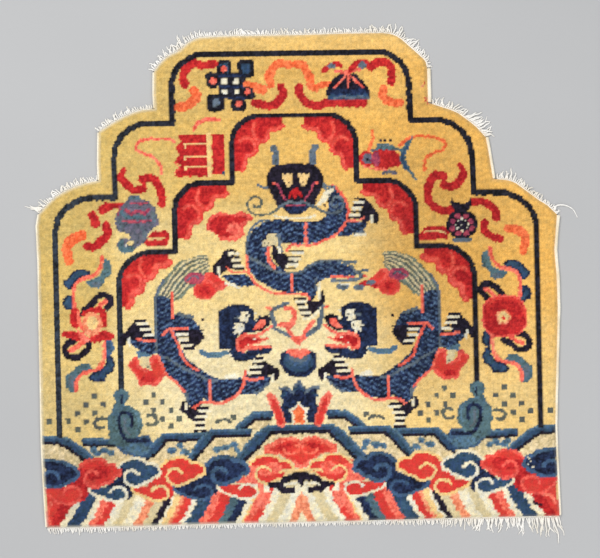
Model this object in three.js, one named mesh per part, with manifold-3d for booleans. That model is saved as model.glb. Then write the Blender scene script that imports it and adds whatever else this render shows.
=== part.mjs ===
// A shaped Chinese rug, such as covers the back of a throne chair: one knotted cloth with a wool pile on
// cotton warps and wefts, three steps on each side, overcast cords along the straight sides, and cut warp
// ends along the foot and the shoulders. It lies flat, pile up.
// Millimetres, +Z up. +X runs along the wefts and +Y along the warps, from the foot to the top.

import * as THREE from 'three';
import { mergeVertices } from 'three/addons/utils/BufferGeometryUtils.js';
import Module from 'manifold-3d';

const wasm = await Module();
wasm.setup();

// Cloth
const THICKNESS = 9;
const FOUNDATION = 3;
const GAP = 0.3;

// Along the edge a new station comes after this much turn, in degrees, or this much length.
const STATION_TURN = 6;
const STATION_LENGTH = 40;
const STATION_STEP = 3;

// How far the pile at the rim stands in from the cloth's edge, from the floor up.
const RIM = [
  { height: 0, inset: 0 },
  { height: FOUNDATION, inset: 0 },
  { height: 6, inset: 0.4 },
  { height: 8.2, inset: 1.2 },
  { height: THICKNESS, inset: 2.8 },
];

// Overcast cord: the outline of its section, as shares of its width and height.
const CORD_HEIGHT = 4.4;
const CORD_SECTION = [
  { out: 0.12, up: 0 },
  { out: 0, up: 0.25 },
  { out: 0, up: 0.7 },
  { out: 0.4, up: 1 },
  { out: 0.78, up: 0.92 },
  { out: 1, up: 0.5 },
  { out: 0.88, up: 0 },
];

// End web: the narrow plain strip that the warp ends come out of.
const WEB_WIDTH = 2.8;
const WEB_HEIGHT = 2.2;
const WEB_SECTION = [
  { out: 0, up: 0 },
  { out: 0, up: 1 },
  { out: 0.55, up: 1 },
  { out: 1, up: 0.55 },
  { out: 1, up: 0 },
];

// Warp ends
const STRAND_WIDTH = 1.9;
const STRAND_HEIGHT = 1.5;
const STRAND_PITCH = 5.4;
const STRAND_TIP = 0.35;
const STRAND_STEPS = 2;
const ROOT_DEPTH = 1.4;

// The cloth's edge, anticlockwise from the left end of the foot, in stretches that meet at corners.
// Each point is [x, y] from the middle of the foot, x along the weft and y along the warp.
// trim: how much the cord or web stops short of the stretch's two ends.
const STRETCHES = [
  {
    name: 'fringe_foot', finish: 'web', trim: [0.5, 0.5],
    edge: [[-360, 0.6], [-240, 0.2], [-120, 0.8], [0, 0.6], [120, 0.9], [240, 1.4], [359.9, 1]],
  },
  {
    name: 'cord_right_low', finish: 'cord', trim: [0.5, 0.5], width: [2.4, 4.8],
    edge: [
      [359.9, 1], [357.6, 78], [356.8, 128], [359.7, 203],
      [362, 249], [364.1, 321], [360.8, 374], [365.7, 424],
    ],
  },
  {
    name: 'fringe_right_low', finish: 'web', trim: [0.5, 5.4],
    edge: [
      [365.7, 424], [354, 436], [341, 444.5], [329, 455],
      [317, 464], [304, 471.5], [291, 474.5], [277.2, 475.5],
    ],
  },
  {
    name: 'cord_right_mid', finish: 'cord', trim: [0.6, 0.5], width: [3.6, 3.8],
    edge: [[277.2, 475.5], [274.6, 490], [272.8, 502], [270.8, 520], [268, 535]],
  },
  {
    name: 'fringe_right_mid', finish: 'web', trim: [0.5, 6.4],
    edge: [
      [268, 535], [261.5, 543], [252, 552.5], [242, 560.5],
      [232.5, 568], [221, 573.6], [205, 579.5], [188.3, 585],
    ],
  },
  {
    name: 'cord_right_top', finish: 'cord', trim: [0.6, 0.5], width: [4.8, 4.8],
    edge: [[188.3, 585], [188.5, 610], [188, 634]],
  },
  {
    name: 'fringe_top', finish: 'web', trim: [0.5, 0.5],
    edge: [
      [188, 634], [186, 643], [181, 649], [173, 656], [164, 664], [154, 674], [144, 680.5], [132, 683.6],
      [110, 684.4], [0, 684], [-115, 684.2], [-135, 682], [-146, 676.5], [-153, 670], [-161, 664.5],
      [-170, 661], [-180, 654.5], [-188.5, 646], [-195, 637],
    ],
  },
  {
    name: 'cord_left_top', finish: 'cord', trim: [0.5, 0.6], width: [2.2, 2.2],
    edge: [[-195, 637], [-196, 625], [-196, 605], [-195, 584.8]],
  },
  {
    name: 'fringe_left_mid', finish: 'web', trim: [3.6, 0.5],
    edge: [
      [-195, 584.8], [-209, 584], [-221, 581.5], [-235, 576.5],
      [-245, 571.5], [-256, 565.5], [-266, 558.8], [-274.5, 554],
    ],
  },
  {
    name: 'cord_left_mid', finish: 'cord', trim: [0.5, 0.6], width: [2.2, 2.2],
    edge: [[-274.5, 554], [-275.6, 530], [-276, 505], [-275.6, 485.8]],
  },
  {
    name: 'fringe_left_low', finish: 'web', trim: [3.6, 0.5],
    edge: [
      [-275.6, 485.8], [-291, 483.5], [-305, 479.5], [-319, 474],
      [-331, 468], [-341, 461], [-350, 452.5], [-361, 441],
    ],
  },
  {
    name: 'cord_left_low', finish: 'cord', trim: [0.5, 0.5], width: [2.2, 2.2],
    edge: [
      [-361, 441], [-364.1, 425], [-363, 405], [-363.2, 319],
      [-363.4, 229], [-364, 130], [-362.3, 50], [-360, 0.6],
    ],
  },
];

// Warp ends along each web. at: share of the web's length. long: how far they reach.
// lean: degrees that they turn from the edge's outward side towards the web's far end. curl: sideways sweep
// at the tip, as a share of the length.
const WARP_ENDS = {
  fringe_foot: [
    { at: 0, long: 9, lean: 8, curl: 0.1 },
    { at: 0.12, long: 8, lean: 5, curl: 0.2 },
    { at: 0.5, long: 7.5, lean: 0, curl: 0.15 },
    { at: 0.76, long: 10, lean: 4, curl: 0.15 },
    { at: 0.82, long: 15, lean: -2, curl: 0.1 },
    { at: 0.9, long: 20, lean: 3, curl: 0.1 },
    { at: 0.96, long: 26, lean: 6, curl: 0.06 },
    { at: 1, long: 25, lean: 12, curl: 0.04 },
  ],
  fringe_right_low: [
    { at: 0, long: 6, lean: -20, curl: 0.3 },
    { at: 0.3, long: 6, lean: 10, curl: 0.3 },
    { at: 0.6, long: 7, lean: 0, curl: 0.4 },
    { at: 0.8, long: 10, lean: -12, curl: 0.3 },
    { at: 1, long: 5, lean: 0, curl: 0.2 },
  ],
  fringe_right_mid: [
    { at: 0, long: 9, lean: -25, curl: 0.3 },
    { at: 0.18, long: 17, lean: -30, curl: 0.15 },
    { at: 0.36, long: 22, lean: -38, curl: 0.1 },
    { at: 0.5, long: 11, lean: -20, curl: 0.25 },
    { at: 0.7, long: 8, lean: -10, curl: 0.3 },
    { at: 1, long: 7, lean: -10, curl: 0.3 },
  ],
  fringe_top: [
    { at: 0, long: 4, lean: -10, curl: 0.2 },
    { at: 0.1, long: 11, lean: -8, curl: 0.35 },
    { at: 0.2, long: 10, lean: 8, curl: 0.35 },
    { at: 0.26, long: 6, lean: 0, curl: 0.3 },
    { at: 0.5, long: 6, lean: 10, curl: 0.2 },
    { at: 0.66, long: 7, lean: 20, curl: 0.2 },
    { at: 0.78, long: 5, lean: 10, curl: 0.2 },
    { at: 0.88, long: 11, lean: -5, curl: 0.25 },
    { at: 0.95, long: 8, lean: 0, curl: 0.3 },
    { at: 1, long: 9, lean: 0, curl: 0.2 },
  ],
  fringe_left_mid: [
    { at: 0, long: 4, lean: 0, curl: 0.2 },
    { at: 0.45, long: 7, lean: 12, curl: 0.4 },
    { at: 0.6, long: 8, lean: 20, curl: 0.4 },
    { at: 1, long: 5, lean: 10, curl: 0.2 },
  ],
  fringe_left_low: [
    { at: 0, long: 5, lean: 0, curl: 0.2 },
    { at: 0.4, long: 7, lean: 14, curl: 0.3 },
    { at: 0.8, long: 8, lean: 10, curl: 0.3 },
    { at: 0.93, long: 16, lean: 10, curl: 0.25 },
    { at: 1, long: 20, lean: 12, curl: 0.2 },
  ],
};

// One pulled warp that lies loose from the outer end of the right lower shoulder.
const LOOSE_WARP = { web: 'fringe_right_low', strand: 0, long: 28, lean: -40, curl: -0.36, steps: 6 };

const COLOURS = {
  pile: 0xd9b25e,
  cotton: 0xefe6cf,
};

// A repeatable number from -1 to 1 for each strand.
function wobble(index, seed) {
  const wave = Math.sin(index * 12.9898 + seed * 78.233) * 43758.5453;
  return (wave - Math.floor(wave)) * 2 - 1;
}

// A stretch's edge as stations, closer where it bends. Each knows its place along it and the outward side.
function makeRun(stretch) {
  const points = stretch.edge.map(([x, y]) => new THREE.Vector3(x, y, 0));
  const curve = new THREE.CatmullRomCurve3(points, false, 'centripetal');
  const length = curve.getLength();
  const pointAt = (distance) => {
    const share = THREE.MathUtils.clamp(distance / length, 0, 1);
    const place = curve.getPointAt(share);
    const along = curve.getTangentAt(share);
    return { distance, x: place.x, y: place.y, outX: along.y, outY: -along.x };
  };
  const stations = [pointAt(0)];
  for (let distance = STATION_STEP; distance < length - STATION_STEP; distance += STATION_STEP) {
    const last = stations[stations.length - 1];
    const here = pointAt(distance);
    const cosine = Math.min(1, last.outX * here.outX + last.outY * here.outY);
    const turn = THREE.MathUtils.radToDeg(Math.acos(cosine));
    if (turn > STATION_TURN || distance - last.distance > STATION_LENGTH) {
      stations.push(here);
    }
  }
  stations.push(pointAt(length));
  return { ...stretch, length, pointAt, stations };
}

// The stations of a run between its trimmed ends.
function trimmedStations(run) {
  const start = run.trim[0];
  const end = run.length - run.trim[1];
  const inner = run.stations.filter((s) => s.distance > start + 1 && s.distance < end - 1);
  return [run.pointAt(start), ...inner, run.pointAt(end)];
}

// A closed body from rings of equal point count, with both ends capped.
function loftRings(rings, capTriangles) {
  const size = rings[0].length;
  const positions = rings.flat(2);
  const index = [];
  for (let r = 0; r + 1 < rings.length; r += 1) {
    for (let i = 0; i < size; i += 1) {
      const a = r * size + i;
      const b = r * size + ((i + 1) % size);
      index.push(a, b, b + size, a, b + size, a + size);
    }
  }
  const last = (rings.length - 1) * size;
  for (const [a, b, c] of capTriangles) {
    index.push(c, b, a);
    index.push(last + a, last + b, last + c);
  }
  const geometry = new THREE.BufferGeometry();
  geometry.setAttribute('position', new THREE.Float32BufferAttribute(positions, 3));
  geometry.setIndex(index);
  return geometry;
}

function fanTriangles(size) {
  const triangles = [];
  for (let i = 1; i + 1 < size; i += 1) {
    triangles.push([0, i, i + 1]);
  }
  return triangles;
}

// A strip with a given section, laid along the outer side of a run.
function makeStrip(run, section, height, widthAt) {
  const rings = trimmedStations(run).map((station) => {
    const width = widthAt(station.distance / run.length);
    return section.map(({ out, up }) => {
      const reach = GAP + out * width;
      return [station.x + station.outX * reach, station.y + station.outY * reach, up * height];
    });
  });
  return loftRings(rings, fanTriangles(section.length));
}

// Values between the rows of a table whose rows are in order of their at column.
function readTable(rows, at) {
  let next = rows.findIndex((row) => row.at >= at);
  if (next < 0) {
    next = rows.length - 1;
  }
  const low = rows[Math.max(next - 1, 0)];
  const high = rows[next];
  const span = high.at - low.at;
  const share = span > 0 ? THREE.MathUtils.clamp((at - low.at) / span, 0, 1) : 0;
  const between = (key) => low[key] + (high[key] - low[key]) * share;
  return { long: between('long'), lean: between('lean'), curl: between('curl') };
}

// A warp end: a three-sided tapering prism with a flat underside on the floor.
function makeStrand(root, shape) {
  const { long, curl, steps } = shape;
  const lean = THREE.MathUtils.degToRad(shape.lean);
  const alongX = -root.outY;
  const alongY = root.outX;
  const dirX = root.outX * Math.cos(lean) + alongX * Math.sin(lean);
  const dirY = root.outY * Math.cos(lean) + alongY * Math.sin(lean);
  const sideX = -dirY;
  const sideY = dirX;
  const start = GAP + WEB_WIDTH - ROOT_DEPTH;
  const rings = [];
  for (let i = 0; i <= steps; i += 1) {
    const share = i / steps;
    const reach = share * (long + ROOT_DEPTH);
    const sweep = curl * long * share * share;
    const x = root.x + root.outX * start + dirX * reach + sideX * sweep;
    const y = root.y + root.outY * start + dirY * reach + sideY * sweep;
    const size = 1 - share * (1 - STRAND_TIP);
    const half = (STRAND_WIDTH / 2) * size;
    rings.push([
      [x - sideX * half, y - sideY * half, 0],
      [x + sideX * half, y + sideY * half, 0],
      [x, y, STRAND_HEIGHT * size],
    ]);
  }
  return loftRings(rings, [[0, 1, 2]]);
}

function toSolid(geometry) {
  const merged = mergeVertices(geometry, 1e-4);
  return new wasm.Manifold(new wasm.Mesh({
    numProp: 3,
    vertProperties: merged.attributes.position.array,
    triVerts: Uint32Array.from(merged.index.array),
  }));
}

function toGeometry(solid) {
  const mesh = solid.getMesh();
  const geometry = new THREE.BufferGeometry();
  geometry.setAttribute('position', new THREE.BufferAttribute(mesh.vertProperties.slice(), 3));
  geometry.setIndex(new THREE.BufferAttribute(mesh.triVerts.slice(), 1));
  return geometry;
}

// An end web with its warp ends fused to it.
function makeFringe(run) {
  const web = makeStrip(run, WEB_SECTION, WEB_HEIGHT, () => WEB_WIDTH);
  let solid = toSolid(web);
  const start = run.trim[0];
  const usable = run.length - run.trim[0] - run.trim[1];
  const count = Math.max(3, Math.floor((usable - STRAND_WIDTH) / STRAND_PITCH) + 1);
  const pitch = (usable - STRAND_WIDTH * 1.4) / (count - 1);
  for (let i = 0; i < count; i += 1) {
    const distance = start + STRAND_WIDTH * 0.7 + i * pitch;
    const at = distance / run.length;
    const look = readTable(WARP_ENDS[run.name], at);
    const long = look.long * (1 + 0.22 * wobble(i, 1));
    const lean = look.lean + 4 * wobble(i, 2);
    const curl = look.curl * (1 + 0.35 * wobble(i, 3)) * Math.sin(i * 0.55);
    const isLoose = run.name === LOOSE_WARP.web && i === LOOSE_WARP.strand;
    const shape = isLoose ? LOOSE_WARP : { long, lean, curl, steps: STRAND_STEPS };
    solid = solid.add(toSolid(makeStrand(run.pointAt(distance), shape)));
  }
  return toGeometry(solid);
}

// The knotted cloth: the edge's outline drawn in a little at each height of the rim.
function makeBody(runs) {
  const outline = runs.flatMap((run) => run.stations.slice(0, -1).map(({ x, y }) => new THREE.Vector2(x, y)));
  const size = outline.length;
  const inward = outline.map((point, i) => {
    const before = point.clone().sub(outline[(i + size - 1) % size]).normalize();
    const after = outline[(i + 1) % size].clone().sub(point).normalize();
    const normal = new THREE.Vector2(-(before.y + after.y), before.x + after.x).normalize();
    const mitre = 1 / Math.max(0.5, normal.dot(new THREE.Vector2(-after.y, after.x)));
    return normal.multiplyScalar(mitre);
  });
  const rings = RIM.map(({ height, inset }) => outline.map((point, i) => [
    point.x + inward[i].x * inset,
    point.y + inward[i].y * inset,
    height,
  ]));
  return loftRings(rings, THREE.ShapeUtils.triangulateShape(outline, []));
}

function addMesh(name, geometry, colour, roughness) {
  const material = new THREE.MeshStandardMaterial({ color: colour, roughness, metalness: 0 });
  const mesh = new THREE.Mesh(geometry, material);
  mesh.name = name;
  rug.add(mesh);
}

const rug = new THREE.Group();
const runs = STRETCHES.map(makeRun);
addMesh('rug_body', makeBody(runs), COLOURS.pile, 0.95);
for (const run of runs) {
  if (run.finish === 'cord') {
    const widthAt = (share) => THREE.MathUtils.lerp(run.width[0], run.width[1], share);
    addMesh(run.name, makeStrip(run, CORD_SECTION, CORD_HEIGHT, widthAt), COLOURS.cotton, 0.85);
  } else {
    addMesh(run.name, makeFringe(run), COLOURS.cotton, 0.9);
  }
}

// The middle of the whole plan stands on the origin.
const plan = new THREE.Box3().setFromObject(rug);
rug.position.set(-(plan.min.x + plan.max.x) / 2, -(plan.min.y + plan.max.y) / 2, 0);

const group = new THREE.Group();
group.add(rug);

export default group;
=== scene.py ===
"""A Chinese rug that covers the back of a throne: knotted wool pile on a cotton foundation, overcast sides
and cut warp ends along its foot and its shoulders. The rug is drawn in millimetres from the middle of its
foot, x along the wefts and y along the warps, and placed in metres where the frame has its cloth."""
import math
from contextlib import contextmanager

import bpy
import numpy as np
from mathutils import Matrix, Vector


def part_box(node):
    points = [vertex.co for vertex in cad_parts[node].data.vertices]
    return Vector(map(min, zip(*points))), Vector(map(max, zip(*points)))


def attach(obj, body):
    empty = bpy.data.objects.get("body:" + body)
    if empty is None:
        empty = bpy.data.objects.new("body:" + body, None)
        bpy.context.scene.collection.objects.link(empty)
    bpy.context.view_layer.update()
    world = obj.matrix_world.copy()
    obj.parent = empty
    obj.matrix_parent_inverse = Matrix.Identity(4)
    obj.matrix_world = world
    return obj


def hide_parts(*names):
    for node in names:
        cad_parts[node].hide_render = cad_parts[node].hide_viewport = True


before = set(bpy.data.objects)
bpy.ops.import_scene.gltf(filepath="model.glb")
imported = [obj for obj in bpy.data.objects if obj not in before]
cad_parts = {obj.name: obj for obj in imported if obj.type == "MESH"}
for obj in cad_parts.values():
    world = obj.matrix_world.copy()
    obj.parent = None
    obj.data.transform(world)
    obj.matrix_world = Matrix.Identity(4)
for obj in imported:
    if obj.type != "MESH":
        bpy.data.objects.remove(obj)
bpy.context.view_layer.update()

MM = 0.001
random = np.random.default_rng(1908)

# The low corner of the cloth in the drawing, which ties the drawing to the frame
BODY_LEFT = -364.2
BODY_FOOT = 0.2
body_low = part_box("rug_body")[0]
SHIFT = np.array([body_low.x / MM - BODY_LEFT, body_low.y / MM - BODY_FOOT, 0])

# Heights in the cloth
FOUNDATION = 2.6
PILE_FOOT = 3.0
PILE_TOP = 9.0
RIM_ROUND = 5.5


def node_points(name):
    """A CAD node's vertices in the drawing, in mm."""
    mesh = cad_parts[name].data
    points = np.empty(len(mesh.vertices) * 3, dtype=np.float32)
    mesh.vertices.foreach_get("co", points)
    return points.reshape(-1, 3).astype(float) / MM - SHIFT


def cloth_edge():
    """The cloth's outline at the top of its foundation, anticlockwise. All of it shows from the middle."""
    points = node_points("rug_body")
    ring = np.unique(points[np.abs(points[:, 2] - PILE_FOOT) < 0.1].round(2), axis=0)[:, :2]
    middle = (ring.min(axis=0) + ring.max(axis=0)) / 2
    turn = np.arctan2(*(ring - middle).T[::-1])
    return ring[np.argsort(turn)]


EDGE = cloth_edge()


# Knot chart: one colour for each knot, drawn from the motifs' own shapes in millimetres

PITCH = 4.0
CHART_LEFT = -372.0
CHART_BOTTOM = -4.0
COLUMNS = 186
ROWS = 174
AXIS = -1.0
# Each knot has two cut ends and lies in two rows of wefts, so it is drawn as two cells each way.
CELL = PITCH / 2

# Each dye, and the shade that it drifts towards where the wool took it unevenly
PALETTE = {
    "gold": ((226, 180, 92), (214, 160, 80)),
    "black": ((23, 17, 29), (38, 32, 47)),
    "line": ((22, 18, 26), (38, 38, 48)),
    "navy": ((24, 30, 54), (36, 50, 80)),
    "scale": ((22, 28, 54), (34, 46, 80)),
    "blue": ((62, 92, 114), (36, 54, 88)),
    "band": ((84, 112, 138), (48, 72, 106)),
    "wave": ((108, 140, 154), (62, 92, 122)),
    "slate": ((114, 126, 132), (74, 86, 102)),
    "teal": ((96, 124, 128), (60, 84, 100)),
    "smoke": ((104, 110, 120), (94, 84, 100)),
    "sage": ((132, 140, 116), (104, 112, 102)),
    "red": ((176, 28, 34), (204, 50, 46)),
    "scarlet": ((228, 74, 60), (202, 44, 44)),
    "rose": ((228, 78, 68), (238, 104, 88)),
    "coral": ((240, 94, 76), (248, 132, 108)),
    "orange": ((240, 98, 52), (246, 130, 80)),
    "salmon": ((240, 128, 90), (242, 164, 124)),
    "cream": ((242, 236, 214), (228, 212, 170)),
    "butter": ((244, 210, 146), (232, 190, 120)),
    "straw": ((224, 208, 164), (206, 186, 140)),
    "sand": ((216, 196, 150), (232, 210, 168)),
    "olive": ((108, 114, 100), (72, 74, 76)),
    "mauve": ((150, 58, 88), (190, 80, 90)),
    "plum": ((42, 18, 34), (62, 32, 50)),
}
INKS = list(PALETTE)

chart = np.zeros((2 * ROWS, 2 * COLUMNS), dtype=np.int8)
cell_x = CHART_LEFT + CELL * (np.arange(2 * COLUMNS) + 0.5)
cell_y = CHART_BOTTOM + CELL * (np.arange(2 * ROWS) + 0.5)
CX, CY = np.meshgrid(cell_x, cell_y)
STRAY = 0.8
STRAY_CELLS = 12


def stray(count, length):
    """A small shift for each knot of a row, anew for each short length of it, so that edges are uneven."""
    shifts = random.uniform(-STRAY, STRAY, (count // 2, -(-length // STRAY_CELLS)))
    return shifts.repeat(2, axis=0).repeat(STRAY_CELLS, axis=1)[:, :length]


CX += stray(*chart.shape)
CY += stray(*chart.T.shape).T


def ink(mask, colour):
    """The cells of a mask take a dye."""
    chart[mask] = INKS.index(colour)


# How each shape is laid on the chart. both_sides adds its mirror image.
sides = ["drawn"]
# Straight stretches between two points of a soft line
SMOOTH_STEPS = 6


@contextmanager
def both_sides():
    """Each shape that is drawn inside is drawn mirrored on the rug's axis as well."""
    sides.append("mirrored")
    yield
    sides.pop()


def on_each_side(points):
    """The points as they are given, and mirrored inside both_sides."""
    for side in sides:
        yield points if side == "drawn" else [(2 * AXIS - x, y) for x, y in points]


def smooth(points, closed=False):
    """Points along a soft curve through the given ones."""
    p = np.array(points, dtype=float)
    if len(p) < 3:
        return p
    if closed:
        p = np.vstack([p[-1], p, p[0], p[1]])
    else:
        p = np.vstack([2 * p[0] - p[1], p, 2 * p[-1] - p[-2]])
    t = np.linspace(0, 1, SMOOTH_STEPS, endpoint=False)[:, None]
    out = []
    for a, b, c, d in zip(p[:-3], p[1:-2], p[2:-1], p[3:]):
        out.append(0.5 * (2 * b + (c - a) * t + (2 * a - 5 * b + 4 * c - d) * t**2
                          + (3 * b - a - 3 * c + d) * t**3))
    if not closed:
        out.append(p[-2:-1])
    return np.vstack(out)


def near(path, width):
    """Cells within half a width of a path. The width may run through several values."""
    widths = np.atleast_1d(np.asarray(width, dtype=float))
    along = np.linspace(0, 1, len(path))
    half = np.interp(along, np.linspace(0, 1, len(widths)), widths) / 2
    mask = np.zeros(chart.shape, dtype=bool)
    for (x0, y0), (x1, y1), h0, h1 in zip(path[:-1], path[1:], half[:-1], half[1:]):
        reach = max(h0, h1)
        i0, i1 = np.searchsorted(cell_x, (min(x0, x1) - reach, max(x0, x1) + reach))
        j0, j1 = np.searchsorted(cell_y, (min(y0, y1) - reach, max(y0, y1) + reach))
        if i0 >= i1 or j0 >= j1:
            continue
        dx, dy = x1 - x0, y1 - y0
        px, py = CX[j0:j1, i0:i1] - x0, CY[j0:j1, i0:i1] - y0
        t = np.clip((px * dx + py * dy) / max(dx * dx + dy * dy, 1e-9), 0, 1)
        far = np.hypot(px - t * dx, py - t * dy)
        mask[j0:j1, i0:i1] |= far <= h0 + (h1 - h0) * t
    return mask


def inside(poly):
    """Cells inside an outline."""
    mask = np.zeros(chart.shape, dtype=bool)
    p = np.asarray(poly, dtype=float)
    i0, i1 = np.searchsorted(cell_x, (p[:, 0].min(), p[:, 0].max()))
    j0, j1 = np.searchsorted(cell_y, (p[:, 1].min(), p[:, 1].max()))
    x, y = CX[j0:j1, i0:i1], CY[j0:j1, i0:i1]
    hit = np.zeros(x.shape, dtype=bool)
    for (x0, y0), (x1, y1) in zip(p, np.roll(p, -1, axis=0)):
        if y0 != y1:
            hit ^= ((y0 > y) != (y1 > y)) & (x < (x1 - x0) * (y - y0) / (y1 - y0) + x0)
    mask[j0:j1, i0:i1] = hit
    return mask


def stroke(colour, width, *points):
    """A soft line through the points."""
    for side in on_each_side(points):
        ink(near(smooth(side), width), colour)


def line(colour, width, *points):
    """Straight stretches from point to point."""
    for side in on_each_side(points):
        ink(near(np.array(side, dtype=float), width), colour)


def patch(colour, *points, soft=False, rim=None, rim_width=3):
    """A filled shape, with a rim of another colour inside its edge where one is named."""
    for side in on_each_side(points):
        poly = smooth(side, closed=True) if soft else np.array(side, dtype=float)
        mask = inside(poly)
        ink(mask, colour)
        if rim:
            ink(mask & near(np.vstack([poly, poly[:1]]), rim_width * 2), rim)


def block(colour, x0, y0, x1, y1):
    """A filled rectangle from its low corner to its high one."""
    patch(colour, (x0, y0), (x1, y0), (x1, y1), (x0, y1))


def disc(colour, x, y, rx, ry=None):
    """A filled circle, or an ellipse where both half widths are given."""
    for ((cx, cy),) in on_each_side([(x, y)]):
        ink(((CX - cx) / rx)**2 + ((CY - cy) / (ry or rx))**2 <= 1, colour)


def squares(colour, size, *points):
    """Small squares of one size round the points."""
    for x, y in points:
        block(colour, x - size / 2, y - size / 2, x + size / 2, y + size / 2)


# Foot, sea, frame lines and corners

def draw_stripes():
    """The slanting stripes along the foot: each band's outer edge, 10 mm above the foot."""
    bands = (
        (30, "cream"), (46, "straw"), (57, "cream"), (67, "scarlet"), (77, "coral"), (81, "butter"),
        (89, "cream"), (101, "navy"), (114, "teal"), (128, "scarlet"), (140, "coral"),
        (159, "blue"), (167, "cream"), (178, "scarlet"), (184, "salmon"), (193, "butter"), (197, "cream"),
        (207, "black"), (219, "straw"), (232, "salmon"), (248, "cream"), (261, "straw"), (273, "cream"),
        (284, "scarlet"), (295, "coral"), (305, "cream"), (325, "blue"), (335, "cream"), (352, "red"),
        (400, "scarlet"),
    )
    wobble = np.repeat(np.random.default_rng(4).normal(0, 1.1, (ROWS, 1)), 2, axis=0)
    for edge, colour in reversed(bands):
        lean = 0.5 * min(1, edge / 24) * (1.15 if edge > 300 else 1)
        far = edge - lean * (CY - 10) + wobble
        ink((np.abs(CX - AXIS) < far) & (CY < 62), colour)
    with both_sides():
        patch("salmon", (1, 45), (-9, 34), (-12, 20), (-20, 0), (-8, 0), (-5, 10), (1, 20))
    stroke("coral", 5, (-352, 36), (-357, 24), (-354, 6))
    stroke("coral", 5, (338, 33), (349, 30), (354, 20))


@both_sides()
def draw_waves():
    """The stepped blue wave bands with their dark lower edges, over sandy ground."""
    patch("sand", (-372, 122), (-338, 122), (-306, 100), (-300, 118), (-264, 116), (-212, 98), (-194, 122),
          (-72, 126), (-60, 118), (-42, 130), (2, 130), (2, 56), (-372, 56))
    block("sand", -68, 132, -40, 150)
    patch("band", (-270, 126), (-262, 114), (-255, 109), (-249, 103), (-241, 100), (-230, 98), (-212, 97),
          (-204, 110), (-212, 128))
    patch("wave", (-256, 117), (-246, 106), (-232, 101), (-217, 101), (-212, 109), (-222, 117))
    # Each step's shadow offset and width, band width at each point, and points
    steps = (
        ((2, -6), 4, (9, 9, 9, 6), ((-42, 153), (-66, 153), (-80, 142), (-92, 133))),
        ((0, -5.5), 3.6, (9, 9), ((-303, 121.5), (-262, 120.5))),
        ((4, -5.5), 4, (9, 12, 9, 9), ((-216, 100), (-207, 109), (-193, 125.5), (-136, 126.5))),
        ((4, -5.5), 4, (9, 9, 12, 12, 9),
         ((-72, 130.5), (-124, 130.5), (-134, 121), (-146, 107), (-155, 96))),
        ((-4, -5.5), 4, (9, 9, 11, 11, 9),
         ((-372, 125.5), (-337, 125.5), (-325, 120), (-308, 107), (-294, 97))),
        ((5, -6), 4.4, (9, 9, 14, 14, 10), ((2, 134), (-45, 134), (-57, 123), (-73, 107), (-88, 92))),
    )
    for (aside, down), shade, widths, step in steps:
        drop = [(x + aside * (n > 0), y + down) for n, (x, y) in enumerate(step)]
        line("black", shade + 2, *drop)
        line("blue", widths, *step)
        lift = np.array(widths)[:, None] / 2 - 2.6
        line("band", 5, *(np.array(step) + lift * (-0.5 * np.sign(aside), 1)))
        line("wave", 2.4, *(np.array(step) + (lift + 1.2) * (-0.5 * np.sign(aside), 1)))
    for x, y, size in ((-291, 109, 5), (-286, 104, 6), (-275, 107, 6), (-266, 104, 5), (-182, 106, 7),
                       (-170, 112, 5), (-163, 103, 7), (-117, 106, 6), (-106, 108, 7), (-94, 112, 6),
                       (-90, 104, 4)):
        disc("wave", x, y, size, 4.6)
        disc("band", x + 1, y - 1, size - 3, 2)


# The outline and the curl of a small cloud, placed by its round end, and of a large one, placed by its neck
SMALL_LENGTH = 52
SMALL_CLOUD = (
    ((-52, 55), (-50, 49.5), (-42, 44.5), (-33, 41), (-24, 37.5), (-13, 36), (-5, 38), (0, 43), (-0.5, 49)),
    ((-5, 54.5), (-12, 56), (-19, 54), (-23, 50)),
)
LARGE_LENGTH = 62
LARGE_CLOUD = (
    ((0, 84), (6, 90), (14, 94), (25, 95.5), (37, 94), (43, 88.5), (50, 88.5), (57, 85), (61.5, 79),
     (60, 72), (53, 70), (47, 64), (39, 62), (29, 57), (18, 57.5), (11, 62), (8, 69)),
    ((11, 76), (17, 79.5), (24, 78.5), (29, 74)),
)


def cloud(inner, rim, edge, swirl, width=4.2, core=None):
    """A lobed cloud. Its rim runs round it from the neck and curls into the round end."""
    patch(inner, *edge, *swirl[:2])
    if core:
        disc(core, *np.mean(edge, axis=0), 13, 9)
        disc(core, *np.mean(swirl, axis=0) - (0, 5), 8, 5)
    stroke(rim, width, *edge, *swirl)


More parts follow.
